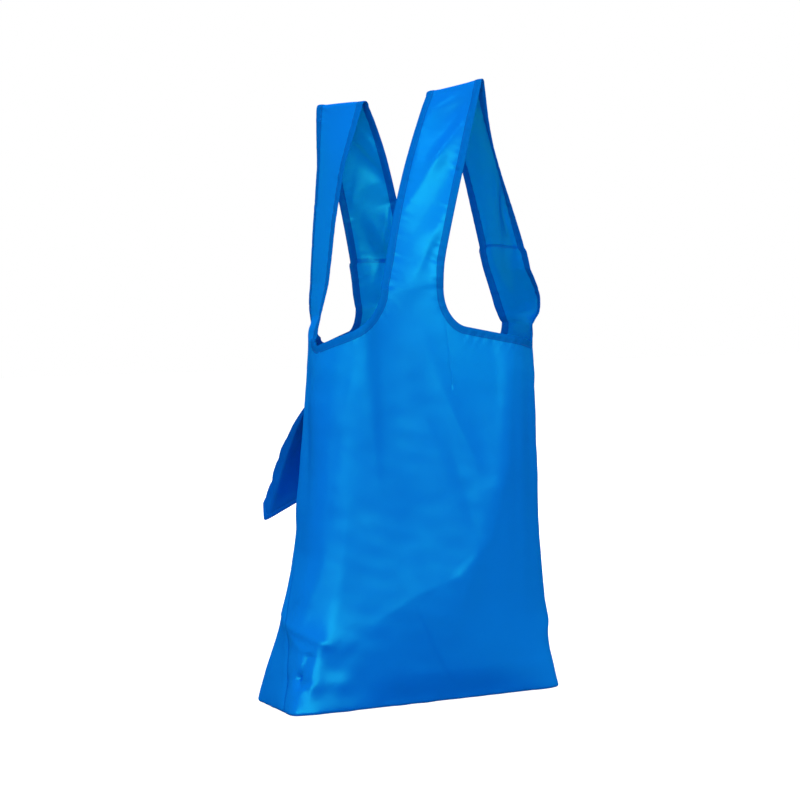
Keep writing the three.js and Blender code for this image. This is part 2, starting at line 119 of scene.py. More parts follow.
class BagStage(bpy.types.PropertyGroup):
    """Where the camera and the lamps stand."""

    azimuth: angle("Azimuth", "Camera's turn round the bag, to its left", -27.3)
    elevation: angle("Elevation", "Camera's height above level", 4.407)
    distance: length("Distance", "Camera to the point that it looks at", 2.6)
    lens: FloatProperty(
        name="Lens", description="Focal length", default=94.36, min=1, unit="CAMERA"
    )
    key_power: watts("Key", "Soft lamp above and at the left", 52)
    fill_power: watts("Fill", "Broad lamp in front", 35)
    back_power: watts("Back", "Soft lamp behind the bag", 120)


# Strap roots round the rim: share of the rim from the left end by way of the front,
# neck height and flare in mm.
LEFT, FRONT, RIGHT, BACK = (-0.035, 7, 0), (0.187, 69, 5), (0.505, 22, 0), (0.783, 42, 4)
# Cut edges beside the roots: share of the reach that curls, and share of the neck's height
# that only slopes.
MOUTH_CUT, ARM_CUT, CORNER_CUT = (0.55, 0.5), (0.22, 0.4), (1, 0)
# Where each strap turns over: share of the way to its far root, rise above the rim in mm,
# turn and tilt of its width in degrees, place of its lap. Then for each side how late it turns,
# its twist above the root in degrees, its bulge above the root, how much more one edge bulges,
# its sideways bow in mm, and how far up it keeps the rim's bow.
RIGHT_STRAP = dict(
    roots=(FRONT, RIGHT), over=0.391, rise=316, turn=-49, tilt=11.5, lap=0.34,
    late=(0.8, 7), twist=(0, 17.5), kick=(0, 5), ear=(0, 4.5), bow=(0.3, -3), hold=(0.4, 0.4),
)
LEFT_STRAP = dict(
    roots=(LEFT, BACK), over=0.37, rise=295, turn=-65, tilt=1.2, lap=0.24,
    late=(1.8, 1.64), twist=(19, -14.6), kick=(3, -0.8), ear=(0, 0), bow=(-2.5, 0.65),
    hold=(0.14, 0.4),
)
KICK_RISE = 0.24  # share of each side over which the bulge above its root dies away
STRAP_SWAY = 1.35  # how late a strap leans over on its way up
# Plan of the body: height in mm, share of the way from the rim's width to the foot's, squareness,
# and share of the lean.
STATIONS = np.array(
    [
        (0, 1, 12, 0),
        (25, 0.92, 8, 0),
        (50, 0.875, 5, 0.02),
        (100, 0.778, 3, 0.4),
        (175, 0.46, 3, 0.73),
        (250, 0.333, 3, 0.77),
        (345, 0.154, 3.1, 0.88),
        (440, 0, 3.2, 1),
        (560, 0, 3.2, 1),
    ],
    float,
)
POUCH_AT = 0.869  # share of the rim below which the pouch is sewn on
POUCH_SWING = np.array((-0.125, 0.6, -0.785))  # the way it hangs
POUCH_TURN = np.array((0.61, -0.6, 0.51))  # the way its mouth runs

FOLD_ENDS = 0.3  # share of a straight fold's length over which it starts, and over which it ends


def straight(*folds):
    """Folds given by two points each, which start and end alike."""
    return [([(u, v), (u2, v2)], *rest, FOLD_ENDS, FOLD_ENDS) for u, v, u2, v2, *rest in folds]


# Folds of the body: share and height of its points, depth outwards in mm, width to the left and
# to the right of the way along it, sharpness (1 is a crisp crease, 2 a soft wave), and how slowly
# it starts and ends.
BODY_FOLDS = straight(
    # Front and left end.
    (0.0057, 278, -0.0456, 493, -1.1, 11.7, 14.8, 1.8),
    (0.0511, 118, -0.0697, 207, 0.95, 60, 15.3, 1.8),
    (0.019, 202, -0.0323, 494, -1.1, 14.3, 13.8, 1.8),
    (0.02, 212, -0.0308, 497, -1.1, 16.2, 8.8, 1.8),
    (-0.0002, 431, -0.0044, 532, 1.1, 20.2, 59.6, 1.8),
    (0.0235, 372, -0.0206, 544, 1.1, 8, 49.7, 1.3),
    (0.0346, 294, -0.0221, 574, 1.1, 8.2, 16.1, 1.8),
    (-0.0096, 161, 0.0246, 280, -0.93, 47.8, 37.2, 1.8),
    (0.0882, 79, -0.0574, 103, -0.93, 54, 32.4, 1.8),
    (0.0417, 278, 0.0047, 406, 0.61, 11.5, 43.9, 1.8),
    (0.0252, 265, 0.0312, 464, 0.91, 11.4, 13.1, 1.8),
    (-0.0422, 41, 0.1034, 112, -0.78, 25, 24, 1.8),
    (0.0496, 283, 0.0226, 402, 0.46, 57.3, 31.7, 1.05),
    (-0.0531, 279, 0.126, 546, 1.52, 9.5, 60, 1.05),
    (0.1148, -73, -0.0404, 123, -1.57, 26.5, 45.4, 1.8),
    (0.0141, -1, 0.0706, 177, -0.93, 13.5, 13.9, 1.8),
    (0.0696, 51, 0.0168, 60, -1.02, 36.6, 13.4, 1.8),
    (0.1258, -98, -0.0384, 120, -1.55, 27.6, 56, 1.8),
    (-0.03, 335, 0.1181, 513, 1.24, 7.8, 51.8, 1.05),
    (0.0764, 78, 0.0238, 86, -1.31, 45.2, 23.4, 1.05),
    (-0.0473, 385, 0.1625, 493, 1.95, 54.4, 60, 1.05),
    (-0.0507, 339, 0.1692, 518, 2.05, 53.5, 60, 1.05),
    (0.0558, 187, 0.0662, 357, -1.03, 13.2, 8.9, 1.8),
    (-0.0377, 22, 0.1691, 210, -1, 22.1, 29.5, 1.8),
    (0.1438, -64, 0.0004, 18, -1.45, 9.2, 59, 1.8),
    (0.0344, 383, 0.1149, 488, 1.41, 54.6, 12.1, 1.8),
    (0.0703, -7, 0.0844, 183, 1.48, 15.9, 16.9, 1.8),
    (0.0767, 43, 0.092, 298, 1.22, 8.5, 9.6, 1.8),
    (0.1008, -49, 0.0768, 125, -0.96, 6, 19.2, 1.8),
    (0.0319, -33, 0.151, 72, -1.35, 59.7, 59.5, 1.3),
    (0.0734, 334, 0.1098, 535, 1.11, 6.9, 17.1, 1.8),
    (0.0804, 227, 0.1047, 506, 2.62, 23, 28.6, 1.8),
    (0.027, -30, 0.1677, 27, -1.68, 60, 34.4, 1.05),
    (0.1129, 294, 0.0838, 548, 2.34, 17.8, 19.3, 1.8),
    (0.0859, 356, 0.1147, 539, 1.51, 35.6, 11.5, 1.8),
    (0.1232, -38, 0.08, 77, -0.98, 9.2, 13, 1.8),
    (0.1405, 226, 0.0821, 587, 1.21, 25.2, 7.5, 1.8),
    (0.1862, 77, 0.0818, 299, -1.67, 34.1, 60, 1.8),
    (0.0925, 71, 0.1783, 112, 0.91, 24.7, 60, 1.05),
    (0.2161, 502, 0.0936, 585, 1.65, 60, 12.5, 1.05),
    (0.2085, 174, 0.143, 402, -1.03, 22.4, 19, 1.8),
    (0.151, 118, 0.285, 157, -1.39, 60, 20.7, 1.3),
    (0.2597, 76, 0.1843, 281, -1.02, 60, 27.1, 1.05),
    (0.2734, 350, 0.186, 472, 0.82, 24.1, 13.7, 1.8),
    (0.2695, 257, 0.2035, 367, 0.73, 23.9, 8.6, 1.8),
    (0.3581, 14, 0.1296, 34, 0.97, 19.2, 58.4, 1.8),
    (0.1182, 21, 0.3906, 19, 1.31, 60, 13.7, 1.8),
    (0.1991, 111, 0.3177, 196, -0.85, 60, 16.3, 1.05),
    (0.3145, 287, 0.2153, 425, 0.59, 9, 11.2, 1.8),
    (0.3234, 269, 0.2428, 386, 0.75, 6.4, 8.9, 1.8),
    (0.3402, 132, 0.2475, 348, -0.91, 11.6, 18.3, 1.3),
    (0.379, 408, 0.2217, 504, -1.09, 12, 53.3, 1.8),
    (0.2629, 68, 0.3724, 335, 1.36, 16, 19.9, 1.8),
    (0.3281, 276, 0.3183, 491, -1.53, 32.1, 46.2, 1.8),
    (0.3707, 262, 0.2899, 256, 0.96, 27.5, 14.8, 1.8),
    (0.3513, 344, 0.3312, 487, -0.77, 60, 9.4, 1.8),
    (0.2542, 357, 0.448, 387, -1.48, 60, 60, 1.8),
    (0.3557, 296, 0.3743, 441, 1.02, 10.5, 60, 1.8),
    (0.3905, 105, 0.3825, 393, -1.41, 9.4, 32.9, 1.8),
    (0.4488, 433, 0.3748, 437, -1.14, 56.8, 19.7, 1.05),
    (0.2783, -8, 0.5541, 16, -1.15, 10.5, 7.6, 1.8),
    (0.4199, 108, 0.4232, 360, -1.54, 33, 10.1, 1.8),
    (0.446, 308, 0.4173, 436, 1.15, 7.8, 60, 1.8),
    (0.455, 236, 0.434, 435, 1.55, 11.1, 16.3, 1.8),
    # Back and right end.
    (0.62, 400, 0.68, 200, -4, 24, 24, 2),
    (0.57, 330, 0.6, 120, 4, 20, 20, 2),
    (0.8, 262, 0.74, 140, -2.6, 10, 13, 1.5),
    (0.93, 330, 0.97, 210, 2.2, 12, 12, 1.6),
) + [
    # The lower left corner is crumpled: creases fan out from one point of the side seam.
    ([(0.0005, 104), (0.034, 146)], -2.2, 6, 7, 1.2, 0.02, 0.6),
    ([(0.0005, 103), (0.055, 90), (0.1, 76)], 4.4, 16, 7, 1.1, 0.02, 0.3),
    ([(0.0005, 100), (0.03, 82), (0.058, 70)], 2.2, 6, 5, 1.2, 0.02, 0.4),
    ([(0.0625, 73), (0.059, 56), (0.053, 43)], -3.4, 4, 6, 1.2, 0.15, 0.05),
    ([(0.05, 40), (0.06, 30)], -7, 9, 8, 1.8, 0.05, 0.2),
    ([(0.02, 98), (0.06, 84), (0.125, 68)], 3, 34, 42, 1.4, 0.5, 0.35),
    ([(0.15, 34), (0.066, 32)], 3.2, 26, 18, 1.8, 0.5, 0.1),
    # The lower right corner, and the upper parts of the back and the right end.
    ([(0.72, 420), (0.66, 300)], 2.5, 14, 12, 1.6, 0.2, 0.4),
    ([(0.9, 190), (0.83, 88)], 2.6, 13, 10, 1.6, 0.3, 0.4),
    ([(0.5, 106), (0.545, 150)], -2.4, 7, 8, 1.3, 0.02, 0.7),
    ([(0.5, 104), (0.595, 70)], 3.4, 12, 7, 1.3, 0.02, 0.4),
    ([(0.5, 104), (0.43, 62)], 2.8, 7, 11, 1.3, 0.02, 0.5),
    ([(0.47, 408), (0.49, 250)], -2.2, 12, 12, 1.8, 0.2, 0.4),
]
# The front bellies out to a crest, which comes down from the right and turns to the left near
# the foot. It lies between these shares of the rim and stops softly short of them.
CREST_LINE = [(0.385, 470), (0.368, 300), (0.332, 200), (0.28, 156), (0.2, 132), (0.1, 84)]
FRONT_CREST = (CREST_LINE, 11, 80, 120, 1.1, 0, 0.22)
CREST_SPAN, CREST_STOP = (0, 0.445), (0.1, 0.05)
# Folds of the straps: way along (0 near root, 1 top, 2 far root) and mm across of its points,
# then as above.
RIGHT_STRAP_FOLDS = straight(
    (-0.159, 26, 0.292, 16, -1.81, 28.5, 19.7, 1.05),
    (0.306, 20, -0.099, 64, -1.8, 29.7, 29.6, 1.3),
    (-0.15, -13, 0.51, 35, 1.19, 7, 7.1, 1.8),
    (0.101, -22, 0.763, 39, -0.27, 16.1, 16.1, 1.8),
    (0.058, -30, 0.864, 52, -2.24, 17.9, 17.9, 1.8),
    (0.351, -28, 0.794, 19, 1.49, 8.7, 8.8, 1.8),
    (0.297, -36, 0.883, 29, 2.12, 12.5, 12.6, 1.05),
    (0.646, -52, 0.627, 22, 4.31, 30, 30, 1.3),
    (0.54, -10, 0.94, 35, 1.27, 7.5, 7.5, 1.8),
    (0.604, -19, 0.927, 17, -1.67, 10.1, 27.1, 1.8),
    (0.674, -59, 1.095, 15, 1.98, 11.7, 11.6, 1.8),
    (0.671, -12, 1.12, 36, -2.48, 17.8, 17.7, 1.8),
    (0.666, -13, 1.141, 37, -2.33, 16.8, 16.6, 1.8),
    (0.961, -31, 0.973, 30, 2.22, 15.4, 22.8, 1.8),
    (1, 0, 1.529, 23, 1.8, 19.9, 30, 1.8),
    (1.037, -3, 1.533, 21, 1.8, 30, 29.9, 1.8),
    (1.063, 15, 1.536, 6, 1.8, 30, 30, 1.8),
    (1.323, -22, 1.403, 30, 1.8, 30, 30, 1.05),
    (1.371, 5, 1.4, 24, 1.8, 27.8, 30, 1.05),
    (1.095, 32, 1.693, -19, 1.8, 21.4, 30, 1.8),
    (1.539, 10, 1.536, 23, -1.8, 24, 21.2, 1.8),
    (1.664, -49, 1.55, 18, 1.8, 30, 30, 1.8),
    (1.901, -40, 1.399, -1, 1.8, 28, 26.9, 1.8),
    (1.646, -5, 1.706, 37, -1.8, 30, 30, 1.8),
    (1.93, -7, 1.436, 36, -1.8, 22.9, 23.9, 1.8),
    (2.096, -15, 1.637, 13, -1.8, 16.5, 16.3, 1.8),
)
LEFT_STRAP_FOLDS = straight(
    (1.207, 2, 1.152, 28, -3.29, 20.1, 27.2, 1.05),
    (1.24, -17, 1.345, 32, 1.75, 18.4, 19, 1.8),
    (1.161, -16, 1.474, 49, 1.38, 17.7, 17.9, 1.3),
    (1.48, -39, 1.33, 27, -1.75, 17.7, 30, 1.05),
    (1.454, -24, 1.473, -7, -1.3, 28, 15.4, 1.3),
    (1.738, 3, 1.458, 26, -3.06, 18.1, 18, 1.05),
    (1.649, -13, 1.553, 61, -3.3, 30, 30, 1.8),
    (1.653, -60, 1.692, 7, 1.58, 30, 30, 1.8),
    (1.695, -58, 1.666, 4, 2.33, 29.9, 29.6, 1.8),
    (1.979, -20, 1.408, 32, -0.71, 4.2, 5.3, 1.8),
    (1.865, -9, 2.062, 44, -2.38, 26.3, 29.6, 1.3),
    (2.132, -1, 1.83, 10, -1.96, 23.7, 27.5, 1.3),
)
STRAP_NEAR, STRAP_ARC = 108, 12  # rows on each side of a strap, and over its top
TAPE_LINES = np.array((9.0, 8.4, 7.5, 6.6, 5.2, 3.6, 2.0, 0.9, 0.0))  # mm in from the tape's fold
STITCH_LINE = 2  # which of them the stitches run on
CREASE_RADIUS = 1.2  # mm that the crispest crease is rounded by
EDGE_TUCK = 3  # the panels reach this near the tape's fold, in mm
LAP_LIFT = 0.6  # mm that a strap's sewn end lies above its root
LAP_RAMP = (-7, -3)  # rows before that end over which the strap rises so far
LAP_THREAD = 0.25  # mm from the lap's cloth to the thread on it
LAP_STEP = 2.2  # mm that a root is wider on each side than the strap sewn on it
ROOT_CALM = 0.16  # share of a strap's rise over which its folds begin
STRAP_RIPPLE, STRAP_BELLY = 0.5, 2.2  # mm of waviness, and of belly between the two taut tapes
BODY_RIPPLE, BODY_FINE_RIPPLE = 0.8, 0.12  # mm of waviness of the body
FOOT_CALM = 40  # folds die away from this height down to the floor, in mm
FOOT_RIPPLE = 0.5  # mm of waviness of the foot's edge
BLUNT = 0.05  # a fold that would start or end within this share of its length does so at once
CLOTH_SPACING, TAPE_SPACING = 2.5, 2.4  # mm between columns along cut edges and tapes
# Rows of a panel as shares of its height, closer at the foot.
PANEL_ROWS = np.concatenate([[0, 0.0012, 0.003, 0.0055], np.linspace(0.009, 1, 150)])
PUCKER = 0.42  # mm that the stitching draws the cloth up and down
PUCKER_WAVES = ((0.5, 26), (0.7, 17), (0.8, 11.5), (0.55, 8), (0.4, 6.3))  # strength, mm apart
PUCKER_SWELLS = (83, 190)  # mm along a tape over which the puckers come and go
PUCKER_SLANT, PUCKER_FADE = 0.35, 7  # their lean, and mm of cloth beside a tape in which they fade
PUCKER_REACH = 60  # mm from a tape's fold within which puckers are worked out
SEAM_DEPTH, SEAM_REACH = 1.3, 2.4  # mm, groove along a side seam
ROLL_DEPTH, ROLL_HEIGHT = 1.7, 3  # mm, the foot's edge rolls under
ALLOWANCE, ALLOWANCE_GAP = np.array((2.5, 4.8, 7)), 0.45  # mm, seam allowance and its half gap
BASE_INSET = 2.2  # mm from the foot's edge to the bottom's edge
BASE_ROWS, BASE_COLUMNS = 49, 150
# Half the thickness of a tape at TAPE_LINES, and of the pouch's hem, in mm.
TAPE_THICK = np.array((0.42, 0.5, 0.46, 0.6, 0.78, 0.85, 0.82, 0.7, 0.55))
HEM_THICK = np.array((0.42, 0.5, 0.46, 0.6, 0.75, 0.8, 0.78, 0.68, 0.55))
TAPE_WALL = 0.24  # mm of cloth in each wall of a tape
FOLD_LINES = 4  # lines round a tape's fold
STITCH_LONG, THREAD_RADIUS, THREAD_LIFT = 2.4, 0.24, 0.06  # mm
CLOTH_SMOOTH, TAPE_SMOOTH = 50, 60  # edges below these angles are shaded smooth, in degrees
POUCH_ROWS, POUCH_COLUMNS = 64, 120
POUCH_ROUND = (0.2, 0.22)  # powers of its section, which is round at 1 and square at 0
POUCH_SEAM = 2.2  # mm, half its thickness where it is sewn on
WEAVE_PITCH = 0.0009  # m from thread to thread as drawn
WAVE_SCALE = 2 * math.pi / 20  # scale at which a wave texture repeats once in a metre
GLOSS_TINT = (0.02, 0.78, 0.7, 1.0)
LOOK_AT = Vector((-0.0150, 0.0, 0.3697))  # the camera looks here
SENSOR = 36  # mm
LAMPS_AIM = Vector((0, 0, 0.35))
FLOOR_SIZE, FLOOR_AT = 12, -0.0004  # m, the paper lies just below the bag
ROOM_LIGHT = 0.8  # strength of the light from all round
WHITE, PAPER_GLOW = 1.0, 0.92  # strengths of what the camera sees behind the bag and under it


def lerp(a, b, t):
    return a + (b - a) * t


def unit(v):
    return v / np.maximum(np.linalg.norm(v, axis=-1, keepdims=True), 1e-9)


def ease(x, low, high):
    """0 below low, 1 above high and smooth between."""
    t = np.clip((x - low) / (high - low), 0, 1)
    return t * t * (3 - 2 * t)


def run_along(points):
    """Length walked along a line up to each of its points."""
    return np.concatenate([[0], np.cumsum(np.linalg.norm(np.diff(points, axis=0), axis=1))])


def creases(u, v, folds):
    """Depth of folds at places u, v on flat cloth, in mm."""
    shape = np.broadcast(u, v).shape
    total = np.zeros(shape)
    for points, deep, left, right, sharp, start, end in folds:
        near, side, way, past = np.full(shape, 1e9), np.zeros(shape), np.zeros(shape), 0.0
        whole = sum(math.dist(a, b) for a, b in zip(points, points[1:]))
        for (ua, va), (ub, vb) in zip(points, points[1:]):
            long = math.dist((ua, va), (ub, vb))
            x, y = (ub - ua) / long, (vb - va) / long
            t = np.clip((u - ua) * x + (v - va) * y, 0, long)
            du, dv = u - ua - t * x, v - va - t * y
            gap = np.hypot(du, dv)
            closer = gap < near
            near = np.where(closer, gap, near)
            side = np.where(closer, dv * x - du * y, side)
            way = np.where(closer, (past + t) / whole, way)
            past += long
        wide = np.where(side > 0, left, right)
        fade = 1
        for share, reach in ((way, start), (1 - way, end)):
            if reach > BLUNT:
                fade = fade * ease(share, 0, reach)
        total += deep * fade * np.exp(-((np.hypot(near, CREASE_RADIUS) / wide) ** sharp))
    return total


def ripples(points, seed, count, longest, shortest):
    """Even, seeded waviness at places in space, mostly between -1 and 1."""
    draw = np.random.default_rng(seed)
    way = unit(draw.normal(size=(count, 3)))
    way *= 2 * math.pi / np.exp(draw.uniform(math.log(shortest), math.log(longest), count))[:, None]
    phase = draw.uniform(0, 2 * math.pi, count)
    return np.sin(points @ way.T + phase).sum(-1) / math.sqrt(2 * count)


class BagShape:
    """Where each point of the bag's cloth lies, in millimetres."""

    columns, step = 2880, 2.0  # places round the plan, and mm between its levels

    def __init__(self, sizes):
        for name in BagSizes.__annotations__:
            setattr(self, name, getattr(sizes, name) * MM)
        z = np.arange(0, 562, self.step)
        half = lerp(self.rim_width, self.foot_width, self.station(1, z)) / 2
        power = 2 / self.station(2, z)
        deep = lerp(self.foot_depth, self.rim_depth, np.minimum(z / self.rim_height, 1)) / 2
        middle = self.lean * self.station(3, z)
        turn = math.pi + np.linspace(0, 2 * math.pi, 1441)
        c, s = np.cos(turn), np.sin(turn)
        x = middle[:, None] + half[:, None] * np.sign(c) * np.abs(c) ** power[:, None]
        y = deep[:, None] * np.sign(s) * np.abs(s) ** power[:, None]
        run = np.zeros_like(x)
        run[:, 1:] = np.cumsum(np.hypot(np.diff(x), np.diff(y)), axis=1)
        share = np.linspace(0, 1, self.columns + 1)
        self.grid = np.empty((len(z), self.columns + 1, 2))
        for i in range(len(z)):
            self.grid[i, :, 0] = np.interp(share * run[i, -1], run[i], x[i])
            self.grid[i, :, 1] = np.interp(share * run[i, -1], run[i], y[i])
        self.foot = run[0, -1]
        self.rim = float(np.interp(self.rim_height, z, run[:, -1]))
        self.folds = [([(a * self.rim, z) for a, z in line], *rest) for line, *rest in BODY_FOLDS]
        self.crest = [([(a * self.rim, z) for a, z in FRONT_CREST[0]], *FRONT_CREST[1:])]
        self.left_seam = self.edge_of(LEFT, -1) - self.corner_scoop / self.rim
        self.right_seam = self.edge_of(RIGHT, -1) - self.corner_scoop / self.rim
        self.right_strap = Strap(self, RIGHT_STRAP, RIGHT_STRAP_FOLDS, 11)
        self.left_strap = Strap(self, LEFT_STRAP, LEFT_STRAP_FOLDS, 12)
        self.tapes = self.edge_tapes()

    def station(self, key, z):
        """A value of the plan at height z, smooth between its stations."""
        h = np.asarray(z, float) * STATIONS[-2, 0] / self.rim_height
        at, v = STATIONS[:, 0], STATIONS[:, key]
        i = np.clip(np.searchsorted(at, h) - 1, 0, len(at) - 2)
        before, after = np.maximum(i - 1, 0), np.minimum(i + 2, len(at) - 1)
        run = at[i + 1] - at[i]
        t = (h - at[i]) / run
        m1 = (v[i + 1] - v[before]) / np.maximum(at[i + 1] - at[before], 1) * run
        m2 = (v[after] - v[i]) / np.maximum(at[after] - at[i], 1) * run
        start = (2 * t**3 - 3 * t**2 + 1) * v[i] + (t**3 - 2 * t**2 + t) * m1
        return start + (3 * t**2 - 2 * t**3) * v[i + 1] + (t**3 - t**2) * m2

    def plan(self, share, z):
        """Plan of the body at height z, walked from the left end by way of the front."""
        u = (share - np.floor(share)) * self.columns
        v = np.clip(z / self.step, 0, len(self.grid) - 1.001)
        i = np.minimum(u.astype(int), self.columns - 1)
        j = v.astype(int)
        fu, fv = (u - i)[..., None], (v - j)[..., None]
        low = self.grid[j, i] * (1 - fu) + self.grid[j, i + 1] * fu
        high = self.grid[j + 1, i] * (1 - fu) + self.grid[j + 1, i + 1] * fu
        return low * (1 - fv) + high * fv

    def body(self, share, z):
        """Points of the body's cloth and their outward directions."""
        share, z = np.broadcast_arrays(np.asarray(share, float), np.asarray(z, float))
        step = 3 / self.rim
        t = unit(self.plan(share + step, z) - self.plan(share - step, z))
        n = np.stack([t[..., 1], -t[..., 0], np.zeros(share.shape)], -1)
        at = np.concatenate([self.plan(share, z), z[..., None]], -1)
        u = (share - np.floor(share)) * self.rim
        deep = sum(creases(u + turn * self.rim, z, self.folds) for turn in (-1, 0))
        (low, high), (soft_low, soft_high) = CREST_SPAN, CREST_STOP
        in_front = ease(u / self.rim, low, low + soft_low) * ease(high - u / self.rim, 0, soft_high)
        deep = deep + creases(u, z, self.crest) * in_front
        deep = deep + BODY_RIPPLE * ripples(at, 3, 9, 170, 90)
        deep = deep + BODY_FINE_RIPPLE * ripples(at, 4, 12, 45, 20)
        return at + n * (deep * ease(z, 0, FOOT_CALM))[..., None], n

    def edge_of(self, root, side):
        """Share of the rim at one edge of a strap's root."""
        return root[0] + side * (self.strap_width / 2 + root[2]) / self.rim

    def scoop(self, root, side, reach, spacing):
        """Cut edge beside a strap: it curls from the strap's edge towards the rim and then slopes
        down to it. Gives mm along the rim, height, and the way into the cloth."""
        curl, slope = CORNER_CUT if root in (LEFT, RIGHT) else ARM_CUT if side > 0 else MOUTH_CUT
        turn = np.linspace(0, math.pi / 2, 400)
        slant = np.linspace(curl, 1, 100)[1:] if curl < 1 else []
        out = np.concatenate([curl * (1 - np.cos(turn)), slant])
        curled = np.concatenate([1 - np.sin(turn), np.zeros(len(slant))])
        high = (1 - slope) * curled + slope * (1 - out)
        line = np.stack([out * reach, high * root[1]], -1)
        inward = unit(np.gradient(line, axis=0)[:, ::-1] * (side, -1))
        run = run_along(line)
        count = max(6, int(round(run[-1] / spacing)))
        where = np.linspace(0, run[-1], count + 1)
        along, high, in_x, in_z = (np.interp(where, run, v) for v in (*line.T, *inward.T))
        along = self.edge_of(root, side) * self.rim + side * along
        return np.column_stack([along, self.rim_height + high, in_x, in_z])

    def rim_line(self, start, end, wrap, spacing):
        """Cut edge from one strap's root round the rim to the next."""
        room = (self.edge_of(end, -1) + wrap - self.edge_of(start, 1)) * self.rim
        first = room - self.corner_scoop if start in (FRONT, BACK) else self.corner_scoop
        down = self.scoop(start, 1, first, spacing)
        up = self.scoop(end, -1, room - first, spacing)[::-1]
        up[:, 0] += wrap * self.rim
        return np.concatenate([down, up[1:]])

    def edge_tapes(self):
        """The three closed tapes: middle of the folded tape at TAPE_LINES, run along its fold."""
        right, left = self.right_strap, self.left_strap
        ways = {
            "mouth": [(LEFT, FRONT, 0), (right, -1, 1), (RIGHT, BACK, 0), (left, 1, -1)],
            "right": [(FRONT, RIGHT, 0), (right, 1, -1)],
            "left": [(BACK, LEFT, 1), (left, -1, 1)],
        }
        made = {}
        for seed, (name, parts) in enumerate(ways.items()):
            points, normals, places = [], [], []
            for part in parts:
                if isinstance(part[0], Strap):
                    strap, side, way = part
                    rows = np.arange(1, strap.count - 1)[::way]
                    across = side * (strap.half[rows][:, None] - TAPE_LINES)
                    p, n = strap.at(rows, across)
                    places.append(np.column_stack([np.full(len(rows), np.nan)] * 2 + [rows]))
                else:
                    line = self.rim_line(*part, TAPE_SPACING)
                    u = line[:, :1] + TAPE_LINES * line[:, 2:3]
                    z = line[:, 1:2] + TAPE_LINES * line[:, 3:4]
                    p, n = self.body(u / self.rim, z)
                    places.append(np.column_stack([line[:, :2], np.full(len(line), -1)]))
                points.append(p)
                normals.append(n)
            p, n, place = np.concatenate(points), np.concatenate(normals), np.concatenate(places)
            run = run_along(np.concatenate([p[:, -1], p[:1, -1]]))
            made[name] = dict(
                points=p, normals=n, place=place, run=run[:-1], whole=run[-1], seed=40 + seed
            )
        return made

    def pucker(self, tape, run, inset):
        """How far the stitching draws the cloth out, at mm along a tape and in from its fold."""
        draw = np.random.default_rng(tape["seed"])
        whole = tape["whole"]
        wave = np.zeros(np.broadcast(run, inset).shape)
        at = (run + PUCKER_SLANT * inset) * 2 * math.pi / whole
        for size, long in PUCKER_WAVES:
            turns = round(whole / (long * draw.uniform(0.9, 1.1)))
            wave += size * np.sin(at * turns + draw.uniform(0, 6.28))
        quick, slow = (at * round(whole / long) for long in PUCKER_SWELLS)
        swell = 0.6 + 0.4 * np.sin(quick + 1) * np.sin(slow)
        near = 0.3 + 0.7 * ease(inset, 0, TAPE_LINES[STITCH_LINE])
        far = np.exp(-np.maximum(inset - TAPE_LINES[0], 0) / PUCKER_FADE)
        return PUCKER * wave * swell * near * far


